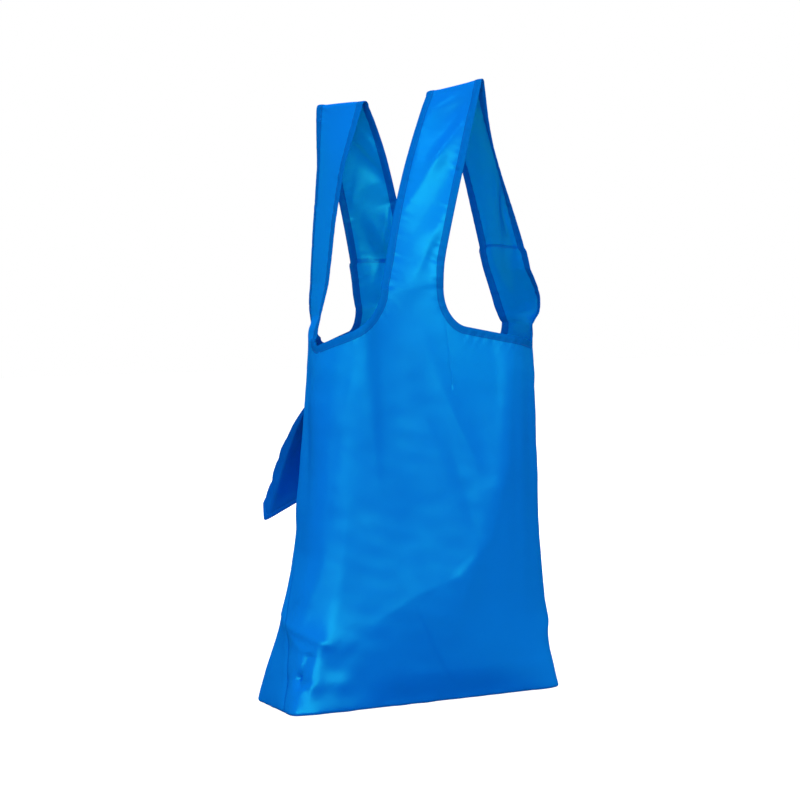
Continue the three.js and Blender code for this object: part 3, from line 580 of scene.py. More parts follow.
class Strap:
    """One strap, as rows from its first root over the top to its second root."""

    def __init__(self, bag, spec, folds, seed):
        self.bag, self.spec, self.seed = bag, spec, seed
        half = bag.strap_width / 2
        self.ends = []
        for root, sign in zip(spec["roots"], (1, -1)):
            z = bag.rim_height + root[1]
            shares = root[0] + np.array((-half, half)) * sign / bag.rim
            a, b = bag.body(shares, z)[0]
            width = b - a
            out = unit(np.array((width[1], -width[0], 0)) * sign)
            turn = math.atan2(width[1], width[0])
            self.ends.append(
                dict(root=root, sign=sign, z=z, middle=(a + b) / 2, width=width, out=out, turn=turn)
            )
        over = math.radians(spec["turn"])
        turns = [over + math.remainder(e["turn"] - over, 2 * math.pi) for e in self.ends]
        top = lerp(self.ends[0]["middle"], self.ends[1]["middle"], spec["over"])
        top[2] = bag.rim_height + spec["rise"] - bag.strap_fold
        across = np.array((-math.sin(over), math.cos(over), 0)) * bag.strap_fold
        rise = np.linspace(0, 1, STRAP_NEAR + 1)
        sideways = np.array((math.cos(over), math.sin(over), 0))
        sides = []
        for i, (end, turn) in enumerate(zip(self.ends, turns)):
            late, twist, kick, bow = (spec[name][i] for name in ("late", "twist", "kick", "bow"))
            target = top + (across if i else -across)
            c = lerp(end["middle"], target, (rise**STRAP_SWAY)[:, None])
            c[:, 2] = lerp(end["middle"][2], target[2], rise)
            bulge = np.sin(math.pi * np.minimum(rise / KICK_RISE, 1) ** 0.8) * ease(rise, 0, 0.05)
            bowed = bow * np.sin(math.pi * rise)
            c += end["out"] * (kick * bulge)[:, None] + sideways * bowed[:, None]
            # A bulge may lift one edge of the strap more than the other.
            lean = end["out"][1] * math.cos(turn) - end["out"][0] * math.sin(turn)
            turn = lerp(turn, over, rise**late) + math.copysign(spec["ear"][i] / half, lean) * bulge
            turn += math.radians(twist) * np.sin(math.pi * np.minimum(rise / 0.75, 1) ** 0.6)
            sides.append((c, turn, math.radians(spec["tilt"]) * rise**4))
        bend = np.arange(1, STRAP_ARC) / STRAP_ARC * math.pi
        arc = top - across * np.cos(bend)[:, None]
        arc[:, 2] += bag.strap_fold * np.sin(bend)
        flat = np.ones(len(bend))
        (c0, turn0, tilt0), (c1, turn1, tilt1) = sides
        self.c = np.concatenate([c0, arc, c1[::-1]])
        turn = np.concatenate([turn0, over * flat, turn1[::-1]])
        tilt = np.concatenate([tilt0, math.radians(spec["tilt"]) * flat, tilt1[::-1]])
        self.rise = np.concatenate([rise, flat, rise[::-1]])
        self.count = len(self.c)
        self.far = np.arange(self.count) > STRAP_NEAR + STRAP_ARC / 2
        self.way = np.where(self.far, 2 - self.rise, self.rise)
        self.way[STRAP_NEAR : STRAP_NEAR + STRAP_ARC + 1] = 1
        level = np.cos(tilt)
        self.w = np.stack([np.cos(turn) * level, np.sin(turn) * level, np.sin(tilt)], -1)
        self.n = unit(np.cross(self.w, np.gradient(self.c, axis=0)))
        self.run = run_along(self.c)
        self.long = self.run[STRAP_NEAR]
        self.folds = [([(a * self.long, w) for a, w in line], *rest) for line, *rest in folds]
        lap = bag.lap / 2 / spec["rise"]
        self.lap_top, self.lap_low = spec["lap"] + lap, spec["lap"] - lap
        # Below the lap the root is a little wider than the strap that is sewn on it.
        wider = ease(self.lap_low - self.rise, -0.004, 0.012) * ease(self.rise, 0, 0.08)
        flare = np.where(self.far, spec["roots"][1][2], spec["roots"][0][2])
        flare = flare * np.maximum(1 - self.rise / 0.2, 0) ** 2
        self.half = half + LAP_STEP * wider * self.far + flare

    def at(self, rows, across):
        """Points at rows of the strap and mm across it, and the way out of the cloth."""
        points, normals = np.empty((*across.shape, 3)), np.empty((*across.shape, 3))
        bag, width = self.bag, self.bag.strap_width
        for i, end in enumerate(self.ends):
            mine = self.far[rows] == bool(i)
            if not mine.any():
                continue
            row, off = rows[mine], across[mine]
            rise = self.rise[row][:, None]
            near_p, near_n = bag.body(end["root"][0] + end["sign"] * off / bag.rim, end["z"])
            scale = np.linalg.norm(end["width"]) / width
            flat = end["middle"] + end["width"] * (off / width)[..., None]
            soft = 1 - ease(rise, 0, 0.8 * self.spec["hold"][i])
            wide = off * lerp(1, scale, soft)
            p = self.c[row][:, None] + self.w[row][:, None] * wide[..., None]
            p = p + (near_p - flat) * soft[..., None]
            n = unit(lerp(self.n[row][:, None], near_n, soft[..., None]))
            # The taut tapes and the bend at the top hold the folds flat.
            held = ease(1 - np.abs(off) / (width / 2), 0.02, 0.4) * ease(1 - rise, 0, 0.1)
            deep = creases(self.way[row][:, None] * self.long, off, self.folds) * held
            deep = deep + STRAP_RIPPLE * ripples(p, self.seed, 9, 90, 40)
            belly = (1 - (off / (width / 2)) ** 2) * ease(rise, 0, 0.4) * ease(1 - rise, 0, 0.2)
            deep = deep + STRAP_BELLY * belly
            points[mine] = p + n * (deep * ease(rise, 0, ROOT_CALM))[..., None]
            normals[mine] = n
        return points, normals


def add_mesh(name, points, faces, uv=None):
    """A mesh object from points in mm and lists of their numbers. Its UV map is the place of each
    point on the flat cloth, in metres."""
    mesh = bpy.data.meshes.new(name)
    if not isinstance(faces, list):
        faces = faces.tolist()
    mesh.from_pydata((points / MM).tolist(), [], faces)
    if uv is not None:
        corner = np.empty(len(mesh.loops), dtype=np.int32)
        mesh.loops.foreach_get("vertex_index", corner)
        layer = mesh.uv_layers.new(name="Cloth")
        layer.data.foreach_set("uv", (uv[corner] / MM).ravel())
    mesh.validate()
    obj = bpy.data.objects.new(name, mesh)
    bpy.context.collection.objects.link(obj)
    return obj


def choose(obj):
    """Selects one object alone and makes it active."""
    bpy.ops.object.select_all(action="DESELECT")
    obj.select_set(True)
    bpy.context.view_layer.objects.active = obj


def smooth_by_angle(obj, degrees):
    choose(obj)
    bpy.ops.object.shade_smooth_by_angle(angle=math.radians(degrees))


def give_thickness(obj, thick):
    """Turns a sheet into a closed thin shell, in metres."""
    choose(obj)
    solid = obj.modifiers.new("Thickness", "SOLIDIFY")
    solid.thickness = thick
    solid.offset = 0
    bpy.ops.object.modifier_apply(modifier=solid.name)


def sewn_piece(obj, material, slot, *nodes):
    """Gives a piece its finish and its place in the frame."""
    obj.data.materials.append(material)
    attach(obj, "root")
    if nodes:
        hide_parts(*nodes)
    return obj


def sewn_sheet(obj, context, material, node):
    """Gives a sheet of the panels' or the pouch's cloth its thickness, finish and place."""
    give_thickness(obj, context.scene.bag_sizes.cloth)
    smooth_by_angle(obj, CLOTH_SMOOTH)
    sewn_piece(obj, finish_of(material, context.scene.bag_colours), "blue_taffeta", node)


def grid_faces(at):
    """Four-sided faces of a grid of points' numbers."""
    return np.stack([at[:-1, :-1], at[:-1, 1:], at[1:, 1:], at[1:, :-1]], -1).reshape(-1, 4)


def panel_mesh(bag, name, end, middle, seams, straps):
    """One panel: the body between its two side seams, and what it carries of the straps."""

    def cut(root, side, reach):
        line = bag.scoop(root, side, reach, CLOTH_SPACING)
        return line[:, :2] + EDGE_TUCK * line[:, 2:]

    def across(root):
        half = bag.strap_width / 2 + root[2] - EDGE_TUCK
        u = root[0] * bag.rim + np.linspace(-half, half, int(2 * half / CLOTH_SPACING) + 1)[1:-1]
        return np.column_stack([u, np.full(len(u), bag.rim_height + root[1])])

    mouth = (bag.edge_of(middle, -1) - bag.edge_of(end, 1)) * bag.rim - bag.corner_scoop
    last = (seams[1] - bag.edge_of(middle, 1)) * bag.rim
    parts = [
        cut(end, -1, bag.corner_scoop)[::-1],
        across(end),
        cut(end, 1, bag.corner_scoop),
        cut(middle, -1, mouth)[::-1][1:],
        across(middle),
        cut(middle, 1, last),
    ]
    begin = np.cumsum([0] + [len(p) for p in parts])
    root_columns = {}
    for root, i in ((end, 1), (middle, 4)):
        root_columns[root] = np.arange(begin[i] - 1, begin[i + 1] + 1)
    top = np.concatenate(parts)
    share, high = top[:, 0] / bag.rim, top[:, 1]
    run = run_along(top)
    part = np.clip((share - seams[0]) / (seams[1] - seams[0]), 0, 1)
    start = bag.seam_drift / bag.foot + (0 if seams[0] < 0 else 0.5)
    low = start + (part + run / run[-1]) / 4
    rise = PANEL_ROWS[:, None]
    s, z = lerp(low, share, rise), high * rise
    p, n = bag.body(s, z)
    deep = np.zeros(s.shape)
    # The stitching of the edge tapes draws up the cloth beside it.
    near = z > bag.rim_height - PUCKER_REACH
    deep[near] += rim_pucker(bag, s[near] * bag.rim, z[near])
    # Each side seam lies in a narrow groove, and the foot's edge rolls under.
    for column in (0, -1):
        away = (s - s[:, column][:, None]) * bag.rim
        deep -= SEAM_DEPTH * np.exp(-((away / SEAM_REACH) ** 2))
    deep -= ROLL_DEPTH * np.maximum(1 - z / ROLL_HEIGHT, 0) ** 2
    deep += FOOT_RIPPLE * ripples(p, 21, 8, 40, 14) * np.exp(-z / 9)
    p = p + n * deep[..., None]
    p[..., 2] += FOOT_RIPPLE * (1 + ripples(p * (1, 1, 0), 22, 8, 60, 18)) * np.exp(-z / 6)
    # Seam allowance inside the bag.
    fins, extra = [], len(ALLOWANCE)
    for column, way in ((0, 1), (-1, -1)):
        out = n[:, column]
        side = np.stack([-out[:, 1], out[:, 0], 0 * out[:, 0]], -1) * way * ALLOWANCE_GAP
        fin = p[:, column][:, None] - out[:, None] * ALLOWANCE[:, None] + side[:, None]
        fins.append((fin, s[:, column][:, None] * bag.rim - way * ALLOWANCE))
    p = np.concatenate([fins[0][0][:, ::-1], p, fins[1][0]], 1)
    u = np.concatenate([fins[0][1][:, ::-1], s * bag.rim, fins[1][1]], 1)
    v = np.concatenate([z[:, :1].repeat(extra, 1), z, z[:, -1:].repeat(extra, 1)], 1)
    points, uv = [p.reshape(-1, 3)], [np.stack([u, v], -1).reshape(-1, 2)]
    total = u.size
    at = np.arange(total).reshape(u.shape)
    faces = [grid_faces(at)]
    for strap, first, stop, lift in straps:
        sign = 1 if stop > first else -1
        root = strap.ends[0 if sign > 0 else 1]["root"]
        base = at[-1, extra + root_columns[root]]
        row = np.arange(first + sign, stop + sign, sign)
        wide = (strap.half[row] - EDGE_TUCK)[:, None] * np.linspace(-1, 1, len(base)) * sign
        q, m = strap.at(row, wide)
        raised = lift * ease(sign * (row - stop), *LAP_RAMP)[:, None]
        q = q + m * (strap_pucker(bag, strap, row, wide) + raised)[..., None]
        strip = np.concatenate([base[None], total + np.arange(wide.size).reshape(wide.shape)])
        points.append(q.reshape(-1, 3))
        up = np.abs(strap.run[row] - strap.run[first])[:, None] + bag.rim_height + root[1]
        uv.append(np.stack([root[0] * bag.rim + sign * wide, up + 0 * wide], -1).reshape(-1, 2))
        faces.append(grid_faces(strip))
        total += wide.size
    return add_mesh(name, np.concatenate(points), np.concatenate(faces), np.concatenate(uv))


def rim_pucker(bag, u, z):
    """Puckers of the body's cloth at mm along the rim and height."""
    deep = np.zeros(u.shape)
    for tape in bag.tapes.values():
        on_body = tape["place"][:, 2] < 0
        edge, run = tape["place"][on_body, :2], tape["run"][on_body]
        for turn in (-1, 0, 1):
            gap = np.hypot(u[:, None] - edge[:, 0] - turn * bag.rim, z[:, None] - edge[:, 1])
            i = np.argmin(gap, 1)
            near = gap[np.arange(len(u)), i]
            deep += np.where(near < PUCKER_REACH, bag.pucker(tape, run[i], near), 0)
    return deep


def strap_pucker(bag, strap, rows, off):
    """Puckers of a strap's cloth beside its two tapes."""
    deep = np.zeros(off.shape)
    is_left = strap is bag.left_strap
    sides = (("mouth", 1), ("left", -1)) if is_left else (("mouth", -1), ("right", 1))
    for name, side in sides:
        tape = bag.tapes[name]
        on = np.flatnonzero(tape["place"][:, 2] >= 0)
        # The mouth's tape holds both straps, the right one first.
        mine = np.split(on, np.flatnonzero(np.diff(on) > 1) + 1)[-1 if is_left else 0]
        mine = mine[np.argsort(tape["place"][mine, 2])]
        run = np.interp(rows, tape["place"][mine, 2], tape["run"][mine])
        inset = strap.half[rows][:, None] - side * off
        deep += bag.pucker(tape, run[:, None], inset)
    return deep


def tape_mesh(name, points, thick):
    """A tape folded round a cloth edge: a closed U, from rings and lines of its middle surface."""
    d_run = np.roll(points, -1, 0) - np.roll(points, 1, 0)
    d_in = np.gradient(points, axis=1)
    n = unit(np.cross(d_run, d_in))
    out = unit(points[:, -1] - points[:, -2])
    front = points + n * thick[:, None]
    back = points - n * thick[:, None]
    bend = np.linspace(0, math.pi, FOLD_LINES + 2)[1:-1]
    cap = points[:, -1][:, None] + thick[-1] * (
        n[:, -1][:, None] * np.cos(bend)[:, None] + out[:, None] * np.sin(bend)[:, None]
    )
    inner = points[:, 1:-2:2]
    thin = (thick[1:-2:2] - TAPE_WALL)[:, None]
    hollow_back = inner - n[:, 1:-2:2] * thin
    hollow_front = inner + n[:, 1:-2:2] * thin
    ring = np.concatenate([front, cap, back[:, ::-1], hollow_back, hollow_front[:, ::-1]], 1)
    count, around = ring.shape[:2]
    at = np.arange(count * around).reshape(count, around)
    ahead, beside = np.roll(at, -1, 0), np.roll(at, -1, 1)
    faces = np.stack([at, beside, np.roll(beside, -1, 0), ahead], -1).reshape(-1, 4)
    run, across = run_along(points[:, -1])[:, None], run_along(ring[0])
    uv = np.stack(np.broadcast_arrays(run, across), -1).reshape(-1, 2)
    flat = ring.reshape(-1, 3)
    a, b, c, d = (flat[faces[:, i]] for i in range(4))
    inside_out = (a * np.cross(b - a, c - a)).sum() + (a * np.cross(c - a, d - a)).sum() < 0
    if inside_out:
        faces = faces[:, ::-1]
    obj = add_mesh(name, flat, faces, uv)
    smooth_by_angle(obj, TAPE_SMOOTH)
    return obj, front, back, n


def stitch_pattern():
    """Points in mm and faces of one lockstitch, a short thread with drawn-in ends."""
    bpy.ops.object.select_all(action="DESELECT")
    bpy.ops.mesh.primitive_cylinder_add(
        vertices=6, radius=THREAD_RADIUS / MM, depth=STITCH_LONG / MM, rotation=(0, math.pi / 2, 0)
    )
    obj = bpy.context.object
    bpy.ops.object.transform_apply(location=True, rotation=True, scale=True)
    bpy.ops.object.mode_set(mode="EDIT")
    bpy.ops.mesh.select_mode(type="FACE")
    bpy.ops.mesh.select_all(action="DESELECT")
    bpy.ops.object.mode_set(mode="OBJECT")
    for face in obj.data.polygons:
        face.select = len(face.vertices) == 6
    bpy.ops.object.mode_set(mode="EDIT")
    bpy.ops.mesh.inset(thickness=THREAD_RADIUS * 0.55 / MM, depth=THREAD_RADIUS * 0.8 / MM)
    bpy.ops.object.mode_set(mode="OBJECT")
    points = np.array([v.co[:] for v in obj.data.vertices]) * MM
    faces = [list(f.vertices) for f in obj.data.polygons]
    bpy.data.objects.remove(obj, do_unlink=True)
    return points, faces


def sew(name, lines, colours):
    """A row of stitches along each line of (places, ways along, ways up) in mm."""
    pattern, pattern_faces = stitch_pattern()
    # A stitch dips into the cloth at both ends.
    curved = pattern.copy()
    curved[:, 2] -= THREAD_RADIUS * 0.9 * (pattern[:, 0] / (STITCH_LONG / 2)) ** 2
    points, faces = [], []
    for at, along, up in lines:
        along = unit(along)
        side = unit(np.cross(up, along))
        up = np.cross(along, side)
        for i in range(len(at)):
            first = len(points) * len(pattern)
            axes = np.stack([along[i], side[i], up[i]])
            points.append(at[i] + curved @ axes)
            faces.extend([[v + first for v in face] for face in pattern_faces])
    obj = add_mesh(name, np.concatenate(points), faces)
    smooth_by_angle(obj, TAPE_SMOOTH)
    return sewn_piece(obj, finish_of("Spun polyester thread", colours), "edge_tape")


def stitch_line(points, up, pitch, closed=False):
    """Places along a line at an even pitch, with the way along and the way up at each."""
    if closed:
        points, up = np.concatenate([points, points[:1]]), np.concatenate([up, up[:1]])
    run = run_along(points)
    count = int(run[-1] / pitch)
    at = (np.arange(count) + 0.5) * run[-1] / count

    def read(values, where):
        return np.stack([np.interp(where, run, values[:, i]) for i in range(3)], -1)

    ahead = read(points, np.minimum(at + 0.6, run[-1]))
    behind = read(points, np.maximum(at - 0.6, 0))
    return read(points, at), ahead - behind, unit(read(up, at))


def tape_stitches(front, back, up, pitch):
    """Stitches along both faces of a closed tape."""
    rows = []
    for face, way in ((front, 1), (back, -1)):
        line, out = face[:, STITCH_LINE], way * up[:, STITCH_LINE]
        rows.append(stitch_line(line + out * THREAD_LIFT, out, pitch, closed=True))
    return rows


def add_node(tree, kind, links=(), **settings):
    """Adds a node, sets its fields and sockets, and links what feeds it. A setting's name is a
    field, or a socket's name with _ for each space; links are (socket, output)."""
    node = tree.nodes.new(kind)
    for name, value in settings.items():
        if hasattr(node, name):
            setattr(node, name, value)
        else:
            node.inputs[name.replace("_", " ")].default_value = value
    for socket, output in links:
        tree.links.new(output, node.inputs[socket])
    return node


def new_material(name):
    material = bpy.data.materials.new(name)
    material.use_nodes = True
    material.node_tree.nodes.clear()
    return material, material.node_tree


def multiply(tree, a, b):
    return add_node(tree, "ShaderNodeMath", [(0, a), (1, b)], operation="MULTIPLY").outputs[0]


def blend(tree, factor, first, second):
    """A colour between two, by a factor's output."""
    node = add_node(tree, "ShaderNodeMix", [("Factor", factor)], data_type="RGBA")
    node.inputs[6].default_value, node.inputs[7].default_value = (*first, 1), (*second, 1)
    return node.outputs[2]


def rescale(tree, value, low, high, **settings):
    """A value's output brought between low and high."""
    settings.update(To_Min=low, To_Max=high)
    node = add_node(tree, "ShaderNodeMapRange", [("Value", value)], **settings)
    return node.outputs["Result"]


def noise(tree, vector, **settings):
    """A noise texture's output."""
    return add_node(tree, "ShaderNodeTexNoise", [("Vector", vector)], **settings).outputs["Fac"]


def relief_link(tree, height, strength, distance):
    """A shader's link to the normals of a relief, whose distance is in metres."""
    links = [("Height", height)]
    bump = add_node(tree, "ShaderNodeBump", links, Strength=strength, Distance=distance)
    return "Normal", bump.outputs["Normal"]


def mix(tree, first, second, links=(), **settings):
    """A shader between two."""
    links = [(1, first.outputs[0]), (2, second.outputs[0]), *links]
    return add_node(tree, "ShaderNodeMixShader", links, **settings)


def taffeta(name, main, deep, backlit, rough, shiny, through, weave_depth):
    """Polyester taffeta, tightly plain woven and calendered: an even strong dye, a soft gloss that
    breaks up along the threads, and some light from behind. Its threads are 0.25 mm apart, too fine
    to show, and are drawn WEAVE_PITCH apart."""
    material, tree = new_material(name)
    uv = add_node(tree, "ShaderNodeUVMap", uv_map="Cloth").outputs["UV"]
    place = add_node(tree, "ShaderNodeTexCoord").outputs["Object"]
    threads, slubs = [], []
    # Slubs are thicker stretches of thread, about 1.5 mm wide and 40 mm long.
    for way, stretch in (("X", (650, 25, 1)), ("Y", (25, 650, 1))):
        thread = add_node(
            tree, "ShaderNodeTexWave", [("Vector", uv)], bands_direction=way,
            Scale=WAVE_SCALE / WEAVE_PITCH, Distortion=0.6, Detail=1.0, Detail_Scale=2.0,
        )
        threads.append(thread.outputs["Fac"])
        long = add_node(tree, "ShaderNodeMapping", [("Vector", uv)], Scale=stretch).outputs[0]
        slubs.append(noise(tree, long, Scale=1.0, Detail=2.0, Roughness=0.55))
    weave, slub = multiply(tree, *threads), multiply(tree, *slubs)
    # The dye lies a little deeper in clouds about 60 mm across.
    cloud = noise(tree, place, Scale=16.0, Detail=2.0, Roughness=0.5)
    shade = rescale(tree, cloud, 0, 1, From_Min=0.3, From_Max=0.7)
    gloss = rescale(tree, slub, rough - 0.01, rough + 0.02, From_Min=0.1, From_Max=0.45)
    relief = add_node(tree, "ShaderNodeMath", [(0, slub), (2, weave)], operation="MULTIPLY_ADD")
    relief.inputs[1].default_value = 0.4
    normal = relief_link(tree, relief.outputs[0], weave_depth, 0.00012)
    dyed = [("Base Color", blend(tree, shade, main, deep)), ("Roughness", gloss), normal]
    cloth = add_node(tree, "ShaderNodeBsdfPrincipled", dyed, Specular_IOR_Level=0.0)
    # Pressed flat between hot rollers, the threads mirror the lamps in their own tint.
    tinted = [("Roughness", gloss), normal]
    shine = add_node(tree, "ShaderNodeBsdfGlossy", tinted, Color=GLOSS_TINT)
    pressed = mix(tree, cloth, shine, Fac=shiny)
    glow = add_node(tree, "ShaderNodeBsdfTranslucent", [normal], Color=(*backlit, 1))
    both = mix(tree, pressed, glow, Fac=through)
    add_node(tree, "ShaderNodeOutputMaterial", [("Surface", both.outputs[0])])
    return material


def sewing_thread(colours):
    """Spun polyester thread: fine twisted fibres, duller than the cloth, seen as small raised
    dashes. The twist is 0.3 mm, drawn at 0.5 mm."""
    material, tree = new_material("Spun polyester thread")
    place = add_node(tree, "ShaderNodeTexCoord").outputs["Object"]
    twist = noise(tree, place, Scale=2000.0, Detail=1.0)
    shade = blend(tree, twist, colours.thread, colours.tape)
    spun = [("Base Color", shade), relief_link(tree, twist, 0.4, 0.0001)]
    thread = add_node(
        tree, "ShaderNodeBsdfPrincipled", spun, Roughness=0.6, Specular_IOR_Level=0.25
    )
    add_node(tree, "ShaderNodeOutputMaterial", [("Surface", thread.outputs[0])])
    return material


def finish_of(name, colours):
    """The bag's materials, made once."""
    if name in bpy.data.materials:
        return bpy.data.materials[name]
    cloth, pouch, tape = colours.cloth, colours.pouch, colours.tape
    # Dye and its deeper shade, the tint of light from behind, roughness, shine, light let through,
    # and depth of the weave.
    looks = {
        "Polyester taffeta": (cloth, colours.cloth_deep, colours.through, 0.3, 0.16, 0.3, 0.08),
        # The pouch's darker taffeta is painted shade, for the shade on the pouch's underside.
        "Pouch taffeta in painted shade": (pouch, pouch, pouch, 0.34, 0.05, 0.04, 0.2),
        "Doubled taffeta tape": (tape, tape, tape, 0.42, 0.04, 0.15, 0.5),
    }
    if name in looks:
        return taffeta(name, *looks[name])
    return sewing_thread(colours)


def sew_panel(context, bag, name, node, roots, seams, straps):
    """Makes one panel with its straps, each as (strap, first row, last row, mm lift of its end)."""
    obj = panel_mesh(bag, name, *roots, seams, straps)
    sewn_sheet(obj, context, "Polyester taffeta", node)


class BAG_OT_front_panel(bpy.types.Operator):
    """Front panel of thin taffeta, cut in one with the long part of both straps"""

    bl_idname = "bag.front_panel"
    bl_label = "Front panel"

    def execute(self, context):
        bag = BagShape(context.scene.bag_sizes)
        straps = []
        for strap in (bag.left_strap, bag.right_strap):
            stop = int(np.flatnonzero(~strap.far | (strap.rise >= strap.lap_low))[-1])
            straps.append((strap, 0, stop, LAP_LIFT))
        seams = (bag.left_seam, bag.right_seam)
        sew_panel(context, bag, "bag_front", "front_panel", (LEFT, FRONT), seams, straps)
        return {"FINISHED"}


class BAG_OT_back_panel(bpy.types.Operator):
    """Back panel of thin taffeta, with the short roots that the straps are sewn on"""

    bl_idname = "bag.back_panel"
    bl_label = "Back panel"

    def execute(self, context):
        bag = BagShape(context.scene.bag_sizes)
        straps = []
        for strap in (bag.right_strap, bag.left_strap):
            stop = int(np.flatnonzero(strap.far & (strap.rise <= strap.lap_top))[0])
            straps.append((strap, strap.count - 1, stop, 0))
        seams = (bag.right_seam, bag.left_seam + 1)
        sew_panel(context, bag, "bag_back", "back_panel", (RIGHT, BACK), seams, straps)
        return {"FINISHED"}


class BAG_OT_base(bpy.types.Operator):
    """Bottom of the bag, one flat piece sewn into the foot"""

    bl_idname = "bag.base"
    bl_label = "Bottom"

    def execute(self, context):
        bag = BagShape(context.scene.bag_sizes)
        q = np.linspace(-1, 1, BASE_COLUMNS)
        part = np.sign(q) * (1 - (1 - np.abs(q)) ** 1.5)
        half, deep = bag.foot_width / 2 - BASE_INSET, bag.foot_depth / 2 - BASE_INSET
        square = STATIONS[0, 2]
        wide = deep * (1 - np.minimum(np.abs(part), 0.99999) ** square) ** (1 / square)
        row = np.linspace(-1, 1, BASE_ROWS)[:, None]
        x, y = np.broadcast_arrays(half * part, row * wide)
        place = np.stack([x, y, 0 * x], -1)
        soft = ease(1 - np.abs(part), 0, 0.12) * ease(1 - np.abs(row), 0, 0.3)
        wavy = 1.1 + ripples(place, 31, 9, 120, 45) + 0.3 * ripples(place, 32, 9, 40, 18)
        z = 0.5 + soft * wavy
        points = np.stack([x, y, np.maximum(z, 0.35)], -1).reshape(-1, 3)
        faces = grid_faces(np.arange(x.size).reshape(x.shape))
        obj = add_mesh("bag_base", points, faces, np.stack([x, y], -1).reshape(-1, 2))
        sewn_sheet(obj, context, "Polyester taffeta", "base_panel")
        return {"FINISHED"}


class BAG_OT_bindings(bpy.types.Operator):
    """Edge tapes folded round the mouth and both armholes, with their stitching"""

    bl_idname = "bag.bindings"
    bl_label = "Edge tapes"

    def execute(self, context):
        bag = BagShape(context.scene.bag_sizes)
        colours = context.scene.bag_colours
        names = {
            "mouth": "mouth_binding",
            "right": "right_armhole_binding",
            "left": "left_armhole_binding",
        }
        for key, node in names.items():
            tape = bag.tapes[key]
            drawn = bag.pucker(tape, tape["run"][:, None], TAPE_LINES)[..., None]
            points = tape["points"] + tape["normals"] * drawn
            obj, *faces = tape_mesh(node + "_tape", points, TAPE_THICK)
            sewn_piece(obj, finish_of("Doubled taffeta tape", colours), "edge_tape", node)
            thread = sew(node + "_stitching", tape_stitches(*faces, bag.stitch_pitch), colours)
        laps = self.lap_lines(bag, bag.right_strap) + self.lap_lines(bag, bag.left_strap)
        sew("strap_lap_stitching", laps, colours)
        return {"FINISHED"}

    def lap_lines(self, bag, strap):
        """Stitches across the lap where a strap's end is sewn on its root, on both faces."""
        row = np.flatnonzero(strap.far & (strap.rise <= strap.spec["lap"]))[:1]
        half = strap.half[row[0]] - TAPE_LINES[0]
        off = np.linspace(-half, half, 60)[None]
        at, up = strap.at(row, off)
        deep = strap_pucker(bag, strap, row, off)[0][:, None]
        at, up = at[0], up[0]
        return [
            stitch_line(at + up * (deep + LAP_LIFT + LAP_THREAD), up, bag.stitch_pitch),
            stitch_line(at + up * (deep - LAP_THREAD), -up, bag.stitch_pitch),
        ]


class BAG_OT_pouch(bpy.types.Operator):
    """Storage pouch sewn to the back, with the hem round its mouth"""

    bl_idname = "bag.pouch"
    bl_label = "Pouch"

    def rings(self, bag, along, count):
        """Rings of the pouch's cloth from its sewn end to its mouth."""
        out, wide = unit(POUCH_SWING), unit(POUCH_TURN)
        thick = unit(np.cross(wide, out))
        middle = bag.body(POUCH_AT, bag.pouch_height)[0]
        along = along[:, None]
        free = ease(along, 0, 1)[..., None]
        swell = lerp(POUCH_SEAM, bag.pouch_puff / 2, along)
        turn = np.linspace(0, 2 * math.pi, count, endpoint=False)
        c, s = np.cos(turn), np.sin(turn)
        x = bag.pouch_width / 2 * np.sign(c) * np.abs(c) ** POUCH_ROUND[0] + 0 * along
        y = swell * np.sign(s) * np.abs(s) ** POUCH_ROUND[1]
        hang = out * (along * bag.pouch_length)[..., None]
        sewn_p, sewn_n = bag.body(POUCH_AT - x / bag.rim, bag.pouch_height)
        sewn = sewn_p + sewn_n * (2 + swell + y)[..., None] + hang
        loose = middle + hang + wide * x[..., None] + thick * y[..., None]
        return lerp(sewn, loose, free)

    def execute(self, context):
        bag = BagShape(context.scene.bag_sizes)
        colours = context.scene.bag_colours
        count = POUCH_COLUMNS
        along = np.linspace(0, 0.997, POUCH_ROWS)
        p = self.rings(bag, along, count)
        d_round = np.roll(p, -1, 1) - np.roll(p, 1, 1)
        n = unit(np.cross(d_round, np.gradient(p, axis=0)))
        wavy = 1.0 * ripples(p, 51, 8, 70, 30) + 0.35 * ripples(p, 52, 10, 28, 14)
        p = p + n * (wavy * ease(along, 0.02, 0.3)[:, None])[..., None]
        at = np.arange(POUCH_ROWS * count).reshape(POUCH_ROWS, count)
        ahead = np.roll(at, -1, 1)
        faces = np.stack([at[:-1], at[1:], ahead[1:], ahead[:-1]], -1).reshape(-1, 4)
        i = np.arange(1, count // 2)
        sewn_end = np.stack([at[0, i], ahead[0, i], at[0, count - i - 1], at[0, count - i]], -1)
        run = bag.pouch_length * along[:, None] + 0 * p[..., 0]
        across = np.linalg.norm(p[-1] - np.roll(p[-1], 1, 0), axis=1).cumsum()
        uv = np.stack([across + 0 * run, run], -1).reshape(-1, 2)
        obj = add_mesh("pouch_bag", p.reshape(-1, 3), np.concatenate([faces, sewn_end]), uv)
        choose(obj)
        bpy.ops.object.mode_set(mode="EDIT")
        bpy.ops.mesh.select_all(action="SELECT")
        bpy.ops.mesh.normals_make_consistent(inside=False)
        bpy.ops.object.mode_set(mode="OBJECT")
        # The pouch and its hem take the darker taffeta, whose colour is painted shade.
        sewn_sheet(obj, context, "Pouch taffeta in painted shade", "pouch")
        lines = TAPE_LINES * bag.pouch_hem / TAPE_LINES[0]
        ring = self.rings(bag, 1 - lines / bag.pouch_length, count * 2).transpose(1, 0, 2)
        hem, *faces = tape_mesh("pouch_hem_tape", ring, HEM_THICK)
        sewn_piece(hem, finish_of("Pouch taffeta in painted shade", colours), "edge_tape", "pouch_hem")
        thread = sew("pouch_hem_stitching", tape_stitches(*faces, bag.stitch_pitch), colours)
        # The mouth is cut on the slant, so its hem is narrower across than along the pouch.
        return {"FINISHED"}


